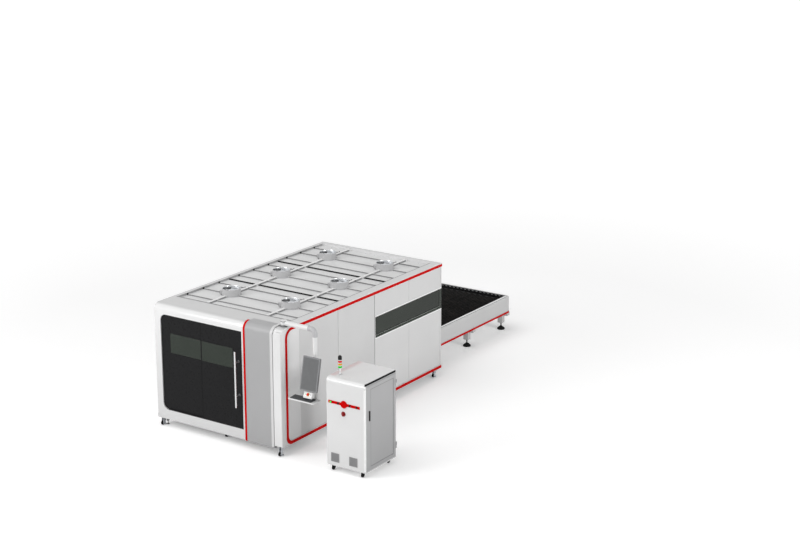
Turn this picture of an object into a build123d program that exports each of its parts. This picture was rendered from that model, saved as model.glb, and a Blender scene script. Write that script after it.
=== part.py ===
"""Laser cutting machine with exchange table, operator console and control cabinet.

Millimetres. +X runs from the machine to its cabinet, +Y from the front door to the exchange table, +Z up.
Pieces are drawn from the middle of the front face at floor level; the last step moves them all so that the
origin lies under the middle of the whole machine.
"""
import os

from build123d import *

# Enclosure
WIDTH = 2900.0
LENGTH = 5110.0
HEIGHT = 2340.0
FLOOR_GAP = 180.0
PANEL = 40.0
PANEL_INSET = 10.0
SKIRT_HEIGHT = 70.0
RIM_HEIGHT = 70.0
MEMBER = 100.0
SEAM = 6.0
RUN = 0.4
FIT = 0.2
HOOD_DEPTH = 530.0
HOOD_RADIUS = 125.0
HOOD_FOOT_RADIUS = 30.0
HOOD_EDGE = 20.0
SIDE_BAYS = 4
BASE_ROWS = 6
SKIRT_TOP = FLOOR_GAP + SKIRT_HEIGHT
RIM_BOTTOM = HEIGHT - RIM_HEIGHT
SIDE = WIDTH / 2
PANEL_FACE = SIDE - PANEL_INSET
PANEL_BACK = PANEL_FACE - PANEL
BAY = (LENGTH - HOOD_DEPTH) / SIDE_BAYS
REAR_FACE = LENGTH - PANEL

# Front column, stripe and corner pillar, counted from the right side
PILLAR_WIDTH = 175.0
PILLAR_DROP = 50.0
PILLAR_RADIUS = 80.0
PILLAR_PROUD = 20.0
PILLAR_EDGE = 14.0
COLUMN_GAP = 9.0
COLUMN_WIDTH = 600.0
COLUMN_PROUD = 15.0
COLUMN_REACH = 250.0
BAND_LIFT = 12.0
STRIPE_WIDTH = 42.0
STRIPE_PROUD = 18.0
STRIPE_REACH = 140.0
PILLAR_LEFT = SIDE - PILLAR_WIDTH
COLUMN_RIGHT = PILLAR_LEFT - COLUMN_GAP
COLUMN_LEFT = COLUMN_RIGHT - COLUMN_WIDTH
STRIPE_LEFT = COLUMN_LEFT - STRIPE_WIDTH

# Red loop on each side
LOOP_FRONT = 110.0
LOOP_FRONT_WIDTH = 58.0
LOOP_DROP = 16.0
LOOP_TOP_WIDTH = 52.0
LOOP_RISE = 32.0
LOOP_LOW_WIDTH = 30.0
LOOP_TOP_RADIUS = 190.0
LOOP_LOW_RADIUS = 140.0
LOOP_THICKNESS = 4.0

# Side and rear openings
WINDOW_DROP = 515.0
WINDOW_HEIGHT = 360.0
WINDOW_POST = 28.0
WINDOW_GLASS = 20.0
WINDOW_DEPTH = 12.0
PANEL_EDGE = 5.0
SLOT_SIDE_GAP = 20.0
SLOT_HEAD = 900.0
WINDOW_HEAD = HEIGHT - WINDOW_DROP
WINDOW_SILL = WINDOW_HEAD - WINDOW_HEIGHT

# Front door
DOOR_MARGIN_LEFT = 150.0
DOOR_MARGIN_RIGHT = 49.0
DOOR_SILL_RISE = 160.0
DOOR_HEAD_DROP = 180.0
DOOR_RADIUS = 125.0
DOOR_OVERLAP = 30.0
DOOR_END_GAP = 1.0
TRACK_HEIGHT = 20.0
TRACK_LIP = 2.0
LEAF_PLAY = 0.5
PANE_OUTER = 205.0
PANE_SEAM = 18.0
PANE_DROP = 342.0
PANE_HEIGHT = 372.0
HANDLE_RADIUS = 16.0
HANDLE_POST_RADIUS = 10.0
HANDLE_LENGTH = 1040.0
HANDLE_POST_SPAN = 620.0
HANDLE_REACH = 110.0
HANDLE_INSET = 70.0
HANDLE_DROP = 875.0
HANDLE_EDGE_SHARE = 0.6
ROSE_RADIUS = 21.0
ROSE = 6.0
DOOR_LEFT = -SIDE + DOOR_MARGIN_LEFT
DOOR_RIGHT = STRIPE_LEFT - DOOR_MARGIN_RIGHT
DOOR_SILL = FLOOR_GAP + DOOR_SILL_RISE
DOOR_HEAD = HEIGHT - DOOR_HEAD_DROP
PANE_HEAD = DOOR_HEAD - PANE_DROP
PANE_SILL = PANE_HEAD - PANE_HEIGHT
HANDLE_MIDDLE = DOOR_HEAD - HANDLE_DROP
DOOR_SEAM = (DOOR_LEFT + DOOR_RIGHT) / 2
GROOVE = (PANEL - 3 * TRACK_LIP) / 2
GROOVE_DEPTH = TRACK_HEIGHT / 2
LEAF = GROOVE - 2 * LEAF_PLAY
SLIDE_FRONT = TRACK_LIP + LEAF_PLAY
FIXED_FRONT = 2 * TRACK_LIP + GROOVE + LEAF_PLAY
HANDLE_X = DOOR_RIGHT - HANDLE_INSET
HANDLE_Y = SLIDE_FRONT - HANDLE_REACH

# Roof
ROOF_LEFT = 90.0
ROOF_RIGHT = 190.0
ROOF_BACK = 110.0
ROOF_LEDGE = 30.0
ROOF_RECESS = 60.0
ROOF_SHEET = 15.0
ROOF_GAP = 16.0
ROOF_PLAY = 1.0
ROOF_SECTIONS = 3
RIB_WIDTH = 60.0
RIB_HEIGHT = 28.0
CROSS_RIB_WIDTH = 26.0
CROSS_RIB_HEIGHT = 25.0
CROSS_RIB_PITCH = 452.0
PORTAL_TUBE = 60.0
ROOF_X0 = -SIDE + ROOF_LEFT
ROOF_X1 = SIDE - ROOF_RIGHT
ROOF_Y1 = LENGTH - ROOF_BACK
ROOF_BED = HEIGHT - ROOF_RECESS
ROOF_TOP = ROOF_BED + ROOF_SHEET
SECTION = (ROOF_Y1 - HOOD_DEPTH) / ROOF_SECTIONS

# Roof fans
FAN_X = 682.0
FAN_RADIUS = 172.5
FAN_WALL = 12.0
FAN_HEIGHT = 135.0
FAN_HOLE_SHARE = 0.86
BLADE_ROOT_SHARE = 0.86
FAN_RIB_GAP = 1.0
FAN_RIM_SHARE = 0.45
FAN_FLANGE_RADIUS = 190.0
FAN_FLANGE = 7.0
FAN_MOTOR_RADIUS = 58.0
FAN_MOTOR_FOOT = 14.0
FAN_MOTOR_HEIGHT = 45.0
FAN_ARMS = 3
FAN_ARM_WIDTH = 14.0
FAN_HUB_RADIUS = 54.0
FAN_HUB_HEIGHT = 40.0
FAN_HUB_EDGE_SHARE = 0.4
FAN_BLADES = 6
FAN_ROOT_WIDTH = 44.0
FAN_ROOT_PITCH = 40.0
FAN_TIP_WIDTH = 62.0
FAN_TIP_PITCH = 22.0
FAN_BLADE = 5.0
FAN_TIP_GAP = 7.0
FAN_BOX_WIDTH = 74.0
FAN_BOX_DEPTH = 46.0
FAN_BOX_HEIGHT = 62.0
FAN_BOX_LIFT = 22.0
FAN_BOX_ANGLE = 215.0
FAN_INNER = FAN_RADIUS - FAN_WALL
FAN_SEAT = ROOF_TOP + FAN_MOTOR_FOOT + FAN_MOTOR_HEIGHT + RUN

# Levelling castors of the enclosure
CASTER_PLATE = 8.0
CASTER_PLATE_WIDTH = 100.0
CASTER_TRAIL = 64.0
CASTER_WHEEL_RADIUS = 37.5
CASTER_WHEEL_WIDTH = 34.0
CASTER_WHEEL_LIFT = 6.0
CASTER_CHEEK = 6.0
CASTER_CHEEK_GAP = 3.0
CASTER_AXLE_RADIUS = 6.0
WHEEL_EDGE_SHARE = 0.125
CASTER_BOSS = 16.0
CASTER_STEM_RADIUS = 12.0
CASTER_NUT_RADIUS = 24.0
CASTER_NUT_HEIGHT = 16.0
CASTER_PAD_RADIUS = 27.0
CASTER_PAD_HEIGHT = 16.0
CASTER_MID_SHIFT = 190.0
CASTER_X = SIDE - PANEL - MEMBER / 2
CASTER_Y = PANEL + MEMBER / 2

# Exchange table
TABLE_WIDTH = 2140.0
TABLE_LENGTH = 3365.0
TABLE_TOP = 758.0
RAIL_HEIGHT = 348.0
RAIL_WIDTH = 100.0
END_RAIL = 60.0
TABLE_RADIUS = 120.0
RAIL_EDGE = 12.0
LEDGE_WIDTH = 40.0
LEDGE = 15.0
LEDGE_LOW_RISE = 5.0
LEDGE_HIGH_RISE = 180.0
END_SLOTS = 14
END_SLOT_WIDTH = 70.0
END_SLOT_HEIGHT = 44.0
END_SLOT_DROP = 60.0
TIE_WIDTH = 110.0
TIE_HEIGHT = 80.0
LEG_WIDTH = 110.0
LEG_BOTTOM = 150.0
LEG_INSET = 190.0
LEG_FIRST = 490.0
LEG_END = 85.0
LEG_PAIRS = 3
FOOT_RADIUS = 82.0
FOOT_NECK_RADIUS = 26.0
FOOT_RIM = 26.0
FOOT_HEIGHT = 72.0
FOOT_STUD_RADIUS = 13.0
FOOT_NUT_RADIUS = 24.0
FOOT_NUT_HEIGHT = 18.0
DRIVE_RADIUS = 62.0
DRIVE_LENGTH = 260.0
DRIVE_FINS = 9
DRIVE_FIN = 9.0
DRIVE_FIN_PITCH = 16.0
DRIVE_FIN_SHARE = 0.4
DRIVE_BOX = 130.0
DRIVE_X = 560.0
TABLE_STRIPE = 30.0
TABLE_SIDE = TABLE_WIDTH / 2
TABLE_INNER = TABLE_SIDE - RAIL_WIDTH
TABLE_END = LENGTH + TABLE_LENGTH
TABLE_BOTTOM = TABLE_TOP - RAIL_HEIGHT
END_INNER = TABLE_END - END_RAIL
LEDGE_LOW = TABLE_BOTTOM + LEDGE_LOW_RISE + LEDGE
LEDGE_HIGH = TABLE_BOTTOM + LEDGE_HIGH_RISE + LEDGE
LEG_X = TABLE_SIDE - LEG_INSET
LEG_Y0 = LENGTH + LEG_FIRST
LEG_Y1 = TABLE_END - LEG_END
LEG_PITCH = (LEG_Y1 - LEG_Y0) / (LEG_PAIRS - 1)

# Pallets and their toothed slats
PALLET_GAP = 15.0
PALLET_END_GAP = 20.0
PALLET_LENGTH = 3100.0
PALLET_TUBE = 60.0
PALLET_TUBE_HEIGHT = 70.0
PALLET_TIES = 4
PALLET_TIE_HEIGHT = 26.0
SLAT_RISE = 30.0
SLAT_HEIGHT = 100.0
SLAT_TOOTH = 26.0
SLAT_TEETH = 12
SLAT = 5.0
SLAT_PITCH = 100.0
PALLET_SIDE = TABLE_INNER - PALLET_GAP
PALLET_OUT_Y1 = END_INNER - PALLET_END_GAP
PALLET_OUT_Y0 = PALLET_OUT_Y1 - PALLET_LENGTH

# Cutting bed and gantry
BED_WIDTH = 200.0
BED_CLEAR = 30.0
BED_TOP = 980.0
BED_FRONT_GAP = 370.0
BED_REAR_GAP = 30.0
BED_TIE = 120.0
BED_TIES = 4
PALLET_IN_GAP = 490.0
GUIDE_WIDTH = 30.0
GUIDE_HEIGHT = 28.0
RACK_SHIFT = 50.0
RACK_WIDTH = 30.0
RACK_HEIGHT = 24.0
TRUCK_LENGTH = 400.0
TRUCK_HEIGHT = 60.0
TRUCK_MARGIN = 10.0
BEAM_DEPTH = 220.0
BEAM_HEIGHT = 240.0
BEAM_RAIL = 24.0
BEAM_RAIL_PROUD = 22.0
BEAM_RAIL_INSET = 40.0
TRUCK_MOTOR_RADIUS = 40.0
TRUCK_MOTOR_HEIGHT = 190.0
TRUCK_MOTOR_INSET = 45.0
GANTRY_PARK = 790.0
CARRIAGE_WIDTH = 280.0
CARRIAGE_HEIGHT = 280.0
CARRIAGE_PLATE = 40.0
CARRIAGE_DROP = 20.0
BEARING_WIDTH = 72.0
BEARING_HEIGHT = 66.0
BEARING_GAP = 4.0
BEARING_COVER = 8.0
HEAD_WIDTH = 120.0
HEAD_DEPTH = 120.0
HEAD_BODY = 400.0
HEAD_LIFT = 120.0
HEAD_STAND_OFF = 30.0
HEAD_EDGE = 14.0
HEAD_BARREL_RADIUS = 38.0
NOZZLE_RADIUS = 7.0
NOZZLE_NUT_RADIUS = 19.0
NOZZLE_LENGTH = 46.0
NOZZLE_CONE_SHARE = 0.45
CERAMIC_RADIUS = 25.0
BARREL_LENGTH = 70.0
BARREL_TAPER_SHARE = 0.35
COLLIMATOR_RADIUS = 34.0
COLLIMATOR_LENGTH = 90.0
CONNECTOR_RADIUS = 17.0
CONNECTOR_LENGTH = 60.0
TRAY_WALL = 8.0
TRAY_HEIGHT = 120.0
TRAY_GAP = 20.0
BED_INNER = TABLE_INNER + BED_CLEAR
BED_OUTER = BED_INNER + BED_WIDTH
BED_Y0 = HOOD_DEPTH + BED_FRONT_GAP
BED_Y1 = REAR_FACE - BED_REAR_GAP
GUIDE_TOP = BED_TOP + GUIDE_HEIGHT
PALLET_IN_Y1 = REAR_FACE - PALLET_IN_GAP
PALLET_IN_Y0 = PALLET_IN_Y1 - PALLET_LENGTH
LEDGE_EDGE = TABLE_INNER - LEDGE_WIDTH
GANTRY_Y = BED_Y0 + GANTRY_PARK - TRUCK_LENGTH / 2
TRUCK_BOTTOM = GUIDE_TOP + RUN
BEAM_BOTTOM = TRUCK_BOTTOM + TRUCK_HEIGHT
BEAM_FRONT = GANTRY_Y - BEAM_DEPTH / 2
CARRIAGE_BACK = BEAM_FRONT - BEAM_RAIL_PROUD - BEARING_COVER
SLAT_TIP_HIGH = LEDGE_HIGH + RUN + SLAT_RISE + SLAT_HEIGHT
NOZZLE_TIP = SLAT_TIP_HIGH + HEAD_STAND_OFF + HEAD_LIFT

# Operator console
PIVOT_INSET = 110.0
PIVOT_Y = 230.0
PIVOT_FLANGE_RADIUS = 70.0
PIVOT_FLANGE = 10.0
PIVOT_PIN_RADIUS = 26.0
ARM_HUB_RADIUS = 56.0
ARM_START_SHARE = 0.86
ARM_HUB_HEIGHT = 92.0
ARM_HUB_CAP = 10.0
ARM_RISE = 56.0
ARM_RADIUS = 40.0
ARM_BEAM_RADIUS = 43.0
ARM_REACH = 665.0
ARM_BEND = 84.0
ELBOW_RADIUS = 46.0
ELBOW_LENGTH = 130.0
POST_BOTTOM = 1130.0
MONITOR_WIDTH = 356.0
MONITOR_HEIGHT = 592.0
MONITOR_DEPTH = 40.0
MONITOR_EDGE = 10.0
MONITOR_PIVOT_BACK = 20.0
MONITOR_PIVOT_DROP = 101.0
MONITOR_PIVOT_Z = 1624.0
MONITOR_TILT = 12.0
SCREEN_BORDER = 20.0
SCREEN = 3.0
LUG_RADIUS = 14.0
LUG_WIDTH = 60.0
LUG_PIN_RADIUS = 6.0
CLEVIS_CHEEK = 14.0
CLEVIS_FRONT = 12.0
CLEVIS_HALF = 20.0
TRAY_SHEET = 14.0
TRAY_X_SHIFT = -113.0
TRAY_WIDTH = 543.0
TRAY_DEPTH = 215.0
TRAY_REAR_GAP = 65.0
TRAY_BRACKET_WIDTH = 130.0
TRAY_BRACKET = 20.0
TRAY_LIP = 8.0
KEYBOARD_WIDTH = 440.0
KEYBOARD_DEPTH = 150.0
KEYBOARD_FRONT = 12.0
KEYBOARD_BACK = 24.0
KEYBOARD_EDGE = 22.0
BOX_WIDTH = 176.0
BOX_DEPTH = 92.0
BOX_BOTTOM = 1226.0
BOX_HEIGHT = 98.0
BOX_LIP = 28.0
BOX_SLOPE = 42.0
BOX_REAR_GAP = 150.0
BOX_ARM_WIDTH = 60.0
BOX_ARM_HEIGHT = 40.0
STOP_RADIUS = 22.0
STOP_CAP = 14.0
STOP_EDGE_SHARE = 0.33
STOP_STEM_RADIUS = 11.0
STOP_STEM_IN = 10.0
STOP_STEM_OUT = 8.0
STOP_BORE_DEPTH = 20.0
PIVOT_X = SIDE - PIVOT_INSET
ARM_Z = HEIGHT + ARM_RISE
POST_X = PIVOT_X + ARM_REACH
MONITOR_PIVOT_Y = PIVOT_Y - MONITOR_PIVOT_DROP
TRAY_Z = POST_BOTTOM + TRAY_BRACKET
TRAY_X0 = POST_X + TRAY_X_SHIFT - TRAY_WIDTH / 2
TRAY_Y1 = PIVOT_Y - TRAY_REAR_GAP
BOX_Y1 = PIVOT_Y - BOX_REAR_GAP
BOX_Y0 = BOX_Y1 - BOX_DEPTH

# Control cabinet
CABINET_CLEAR = 940.0
CABINET_FRONT = 20.0
CABINET_WIDTH = 790.0
CABINET_DEPTH = 930.0
CABINET_BOTTOM = 90.0
CABINET_TOP = 1700.0
CABINET_WALL = 20.0
CABINET_RADIUS = 95.0
CABINET_EDGE = 36.0
DOOR_STILE = 44.0
DOOR_SHEET = 20.0
DOOR_CAP = 26.0
DOOR_PLAY = 4.0
DOOR_TOP_GAP = 40.0
DOOR_SEAT = 0.5
DOOR_FIELD_INSET = 62.0
DOOR_FIELD_DEPTH = 4.0
HINGE_RADIUS = 8.0
HINGE_HEIGHT = 60.0
HINGE_LEAF = 3.0
HINGE_LEAF_WIDTH = 34.0
HINGE_END = 210.0
LATCH_INSET = 92.0
LATCH_MIDDLE = 1105.0
LATCH_WIDTH = 24.0
LATCH_LENGTH = 180.0
LATCH_LEVER = 14.0
LATCH_PIN_RADIUS = 9.0
LATCH_PIN_DEPTH = 8.0
FASCIA_LEFT = 40.0
FASCIA_WIDTH = 650.0
FASCIA_HEIGHT = 48.0
FASCIA = 6.0
FASCIA_Z = 1260.0
FASCIA_DISC_RADIUS = 66.0
FASCIA_DISC = 12.0
FASCIA_DISC_X = 362.0
LAMP_X = 93.0
BUTTON_X = (246.0, 486.0, 627.0)
LAMP_RADIUS = 15.0
LAMP_HEIGHT = 12.0
SWITCH_X = 352.0
SWITCH_Z = 1088.0
SWITCH_RADIUS = 43.0
SWITCH_PLATE = 5.0
SWITCH_KNOB_RADIUS = 30.0
SWITCH_KNOB = 16.0
SWITCH_GRIP_WIDTH = 16.0
SWITCH_GRIP = 16.0
SWITCH_PIN_RADIUS = 8.0
SWITCH_PIN_DEPTH = 10.0
GRILLE_X = (170.0, 549.0)
GRILLE_WIDTH = 164.0
GRILLE_HEIGHT = 158.0
GRILLE_Z = 260.0
GRILLE = 8.0
GRILLE_BORDER = 14.0
GRILLE_SLOTS = 7
GRILLE_SLOT_SHARE = 0.55
TOWER_X = 155.0
TOWER_Y = 185.0
TOWER_RADIUS = 33.0
TOWER_POLE_RADIUS = 11.0
TOWER_FOOT = 12.0
TOWER_POLE = 126.0
TOWER_LENS = 32.0
TOWER_RING = 16.0
TOWER_RING_INSET = 2.0
TOWER_LENSES = 3
TOWER_CAP = 43.0
SOURCE_GAP = 60.0
SOURCE_HEIGHT = 620.0
SOURCE_EDGE = 12.0
SOURCE_VENTS = 9
SOURCE_VENT = 6.0
SOURCE_VENT_INSET = 90.0
SOURCE_VENT_SHARE = 0.5
CART_PLATE = 6.0
CART_PLATE_WIDTH = 78.0
CART_TRAIL = 22.0
CART_WHEEL_RADIUS = 36.0
CART_WHEEL_WIDTH = 30.0
CART_CHEEK = 5.0
CART_INSET_X = 90.0
CART_INSET_Y = 80.0
CABINET_LEFT = SIDE + CABINET_CLEAR
CABINET_RIGHT = CABINET_LEFT + CABINET_WIDTH
CABINET_REAR = CABINET_FRONT + CABINET_DEPTH
DOOR_BACK = CABINET_RIGHT - DOOR_SHEET
DOOR_Y0 = CABINET_FRONT + DOOR_STILE
DOOR_Z0 = CABINET_BOTTOM + CABINET_WALL
DOOR_Z1 = CABINET_TOP - DOOR_CAP
HINGE_X = CABINET_RIGHT + HINGE_RADIUS
HINGE_Y = CABINET_REAR + HINGE_RADIUS
LATCH_Y = DOOR_Y0 + LATCH_INSET

# Middle of the whole machine in plan, the origin of the finished part
ORIGIN_X = (HINGE_X + HINGE_RADIUS - SIDE - LOOP_THICKNESS) / 2
ORIGIN_Y = (TABLE_END + LOOP_THICKNESS + HANDLE_Y - HANDLE_RADIUS) / 2

ON_FLOOR = (Align.CENTER, Align.CENTER, Align.MIN)


# Shared shapes
def block(x0, x1, y0, y1, z0, z1):
    """Box between two corners."""
    return Pos((x0 + x1) / 2, (y0 + y1) / 2, (z0 + z1) / 2) * Box(x1 - x0, y1 - y0, z1 - z0)


def both_sides(x0, x1, y0, y1, z0, z1):
    """The same box on the right and on the left."""
    return block(x0, x1, y0, y1, z0, z1) + block(-x1, -x0, y0, y1, z0, z1)


def rod(x, y, z0, z1, radius):
    """Upright cylinder."""
    return Pos(x, y, z0) * Cylinder(radius, z1 - z0, align=ON_FLOOR)


def rod_x(x0, x1, y, z, radius):
    """Cylinder lying along X."""
    return Pos(x0, y, z) * Rot(0, 90, 0) * Cylinder(radius, x1 - x0, align=ON_FLOOR)


def rod_y(x, y0, y1, z, radius):
    """Cylinder lying along Y."""
    return Pos(x, y0, z) * Rot(-90, 0, 0) * Cylinder(radius, y1 - y0, align=ON_FLOOR)


def area(u0, u1, v0, v1):
    """Flat rectangle between two corners."""
    return Pos((u0 + u1) / 2, (v0 + v1) / 2) * Rectangle(u1 - u0, v1 - v0)


def rounded(face, radius, *ways):
    """Round the corners of a flat face that lie furthest in the given directions."""
    corners = [max(face.vertices(), key=lambda v: way[0] * v.X + way[1] * v.Y) for way in ways]
    return fillet(corners, radius)


def across(face, x0, x1):
    """A face drawn in Y and Z, carried along X."""
    return extrude(Plane.YZ.offset(x0) * face, x1 - x0)


def inward(face, y0, y1):
    """A face drawn in X and Z, carried along Y."""
    return extrude(Plane.XZ.offset(-y1) * face, y1 - y0)


def upward(face, z0, z1):
    """A face drawn in X and Y, carried up."""
    return extrude(Plane.XY.offset(z0) * face, z1 - z0)


def polygon(*points):
    """Flat face through the given corners."""
    return make_face(Polyline(*points, close=True))


def turned(face):
    """A face drawn as radius and height, turned about the upright axis."""
    return revolve(Plane.XZ * face, Axis.Z)


def group(*shapes):
    """Separate solids that share one file."""
    return Compound(children=[solid for shape in shapes for solid in shape.solids()])


def mirrored(shape):
    """The same shape on the left side."""
    return mirror(shape, about=Plane.YZ)


# Enclosure pieces
def hood_outline(grow):
    """Side view of the front hood, grown outward by a given amount."""
    face = area(-grow, HOOD_DEPTH, FLOOR_GAP, HEIGHT + grow)
    face = rounded(face, HOOD_RADIUS + grow, (-1, 1))
    return rounded(face, HOOD_FOOT_RADIUS + grow, (-1, -1))


def hood_block():
    return across(hood_outline(0), -SIDE, SIDE)


def loop_window(reach):
    """Field inside the red loop, from its front band to a given place along the side."""
    face = area(LOOP_FRONT + LOOP_FRONT_WIDTH, reach, SKIRT_TOP, RIM_BOTTOM)
    face = rounded(face, LOOP_TOP_RADIUS - LOOP_TOP_WIDTH, (-1, 1))
    return rounded(face, LOOP_LOW_RADIUS - LOOP_LOW_WIDTH, (-1, -1))


def door_opening():
    face = area(DOOR_LEFT, DOOR_RIGHT, DOOR_SILL, DOOR_HEAD)
    return rounded(face, DOOR_RADIUS, (-1, 1), (-1, -1))


def base_frame():
    frame = block(-SIDE, SIDE, HOOD_DEPTH, LENGTH, FLOOR_GAP, SKIRT_TOP)
    frame += block(PANEL - SIDE, SIDE - PANEL, PANEL, HOOD_DEPTH, FLOOR_GAP, SKIRT_TOP)
    first = PANEL + MEMBER
    step = (LENGTH - PANEL - MEMBER - first + MEMBER) / BASE_ROWS
    outer = SIDE - PANEL - MEMBER
    for row in range(BASE_ROWS):
        y0 = first + row * step
        frame -= both_sides(MEMBER / 2, outer, y0, y0 + step - MEMBER, FLOOR_GAP, SKIRT_TOP)
    return frame


def front_hood():
    outer = hood_block()
    edges = [
        edge
        for edge in outer.edges()
        if edge.bounding_box().max.X < -SIDE + SEAM
        and edge.center().Y < HOOD_DEPTH - SEAM
        and edge.center().Z > FLOOR_GAP + SEAM
    ]
    outer = fillet(edges, HOOD_EDGE)
    inner = area(PANEL, HOOD_DEPTH, FLOOR_GAP, HEIGHT - PANEL)
    inner = rounded(inner, HOOD_RADIUS - PANEL, (-1, 1))
    hood = outer - across(inner, PANEL - SIDE, SIDE - PANEL)
    hood -= inward(door_opening(), 0, PANEL)
    recess = across(loop_window(HOOD_DEPTH), PANEL_FACE, SIDE)
    return hood - recess - mirrored(recess)


def hood_band(x0, x1, proud, reach):
    """Band that follows the hood from its foot over its rounded top."""
    face = hood_outline(proud) - hood_outline(0)
    return across(face & area(-proud, reach, FLOOR_GAP + BAND_LIFT, HEIGHT + proud), x0, x1)


def column_cover():
    return hood_band(COLUMN_LEFT, COLUMN_RIGHT, COLUMN_PROUD, COLUMN_REACH)


def corner_pillar():
    face = area(PILLAR_LEFT, SIDE, FLOOR_GAP + BAND_LIFT, HEIGHT - PILLAR_DROP)
    face = rounded(face, PILLAR_RADIUS, (-1, 1))
    pillar = inward(face, -PILLAR_PROUD, HOOD_RADIUS)
    front = pillar.faces().sort_by(Axis.Y)[0]
    return fillet(front.edges(), PILLAR_EDGE) - hood_block()


def side_loop():
    high = HEIGHT - LOOP_DROP
    low = FLOOR_GAP + LOOP_RISE
    outer = rounded(area(LOOP_FRONT, LENGTH, low, high), LOOP_TOP_RADIUS, (-1, 1))
    outer = rounded(outer, LOOP_LOW_RADIUS, (-1, -1))
    inner = area(LOOP_FRONT + LOOP_FRONT_WIDTH, LENGTH, low + LOOP_LOW_WIDTH, high - LOOP_TOP_WIDTH)
    inner = rounded(inner, LOOP_TOP_RADIUS - LOOP_TOP_WIDTH, (-1, 1))
    inner = rounded(inner, LOOP_LOW_RADIUS - LOOP_LOW_WIDTH, (-1, -1))
    return across(outer - inner, SIDE + FIT, SIDE + LOOP_THICKNESS)


def table_outline(grow):
    face = area(-TABLE_SIDE - grow, TABLE_SIDE + grow, LENGTH, TABLE_END + grow)
    return rounded(face, TABLE_RADIUS + grow, (-1, 1), (1, 1))


def red_stripes():
    front = hood_band(STRIPE_LEFT, COLUMN_LEFT, STRIPE_PROUD, STRIPE_REACH)
    side = side_loop()
    table = table_outline(LOOP_THICKNESS) - table_outline(FIT)
    table = upward(table, TABLE_BOTTOM, TABLE_BOTTOM + TABLE_STRIPE)
    return group(front, side, mirrored(side), table)


def side_panel(bay, z0, z1, last=LENGTH):
    """Flat cassette that fills one bay of the right side between two heights."""
    y0 = HOOD_DEPTH + bay * BAY + SEAM / 2
    y1 = min(HOOD_DEPTH + (bay + 1) * BAY - SEAM / 2, last)
    return block(PANEL_BACK, PANEL_FACE, y0, y1, z0, z1)


def softened(panel):
    """Small bevel round the outer face of a cassette."""
    return chamfer(panel.faces().sort_by(Axis.X)[-1].edges(), PANEL_EDGE)


def front_pair():
    half = SIDE_BAYS // 2
    return [softened(side_panel(bay, SKIRT_TOP, RIM_BOTTOM)) for bay in range(half)]


def rear_set():
    """Cassettes round the side window: one bends round its front end, the others lie below and above."""
    half = SIDE_BAYS // 2
    bent = side_panel(half, SKIRT_TOP, RIM_BOTTOM)
    y0 = HOOD_DEPTH + half * BAY + WINDOW_POST
    bent -= block(PANEL_BACK, PANEL_FACE, y0, y0 + BAY, WINDOW_SILL, WINDOW_HEAD)
    panels = [softened(bent)]
    for bay in range(half + 1, SIDE_BAYS):
        panels.append(softened(side_panel(bay, SKIRT_TOP, WINDOW_SILL, REAR_FACE - SEAM / 2)))
        panels.append(softened(side_panel(bay, WINDOW_HEAD, RIM_BOTTOM, REAR_FACE - SEAM / 2)))
    return panels


def right_front_panels():
    return group(*front_pair())


def right_rear_panels():
    return group(*rear_set())


def left_panels():
    return group(*[mirrored(panel) for panel in front_pair() + rear_set()])


def side_windows():
    face = PANEL_FACE - WINDOW_DEPTH
    y0 = HOOD_DEPTH + SIDE_BAYS // 2 * BAY + WINDOW_POST
    glass = block(face - WINDOW_GLASS, face, y0, REAR_FACE, WINDOW_SILL, WINDOW_HEAD)
    return group(glass, mirrored(glass))


def rear_cover():
    slot = TABLE_INNER - SLOT_SIDE_GAP / 2
    cover = block(-PANEL_FACE, PANEL_FACE, REAR_FACE, LENGTH, SKIRT_TOP, RIM_BOTTOM)
    return cover - block(-slot, slot, REAR_FACE, LENGTH, TABLE_BOTTOM, SLOT_HEAD)


def portal_frames():
    portals = []
    for section in range(1, ROOF_SECTIONS):
        middle = HOOD_DEPTH + section * SECTION
        y0 = middle - PORTAL_TUBE / 2
        y1 = middle + PORTAL_TUBE / 2
        portal = both_sides(PANEL_BACK - PORTAL_TUBE, PANEL_BACK, y0, y1, SKIRT_TOP, RIM_BOTTOM)
        portal += block(-PANEL_BACK, PANEL_BACK, y0, y1, RIM_BOTTOM - PORTAL_TUBE, RIM_BOTTOM)
        portal += block(ROOF_X0 + ROOF_LEDGE, ROOF_X1 - ROOF_LEDGE, y0, y1, RIM_BOTTOM, ROOF_BED)
        portals.append(portal)
    return group(*portals)


def roof_rim():
    rim = block(-SIDE, SIDE, HOOD_DEPTH, LENGTH, RIM_BOTTOM, HEIGHT)
    edges = [edge for edge in rim.faces().sort_by(Axis.Z)[-1].edges() if abs(edge.center().X) > SIDE - SEAM]
    rim = fillet(edges, HOOD_EDGE)
    ledge_x0 = ROOF_X0 + ROOF_LEDGE
    rim -= block(ledge_x0, ROOF_X1 - ROOF_LEDGE, HOOD_DEPTH, ROOF_Y1 - ROOF_LEDGE, RIM_BOTTOM, ROOF_BED)
    return rim - block(ROOF_X0, ROOF_X1, HOOD_DEPTH, ROOF_Y1, ROOF_BED, HEIGHT)


def section_middle(section):
    return HOOD_DEPTH + (section + 0.5) * SECTION


def fan_places():
    """Centres of the roof fans, section by section."""
    return [(x, section_middle(section)) for section in range(ROOF_SECTIONS) for x in (-FAN_X, FAN_X)]


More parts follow.
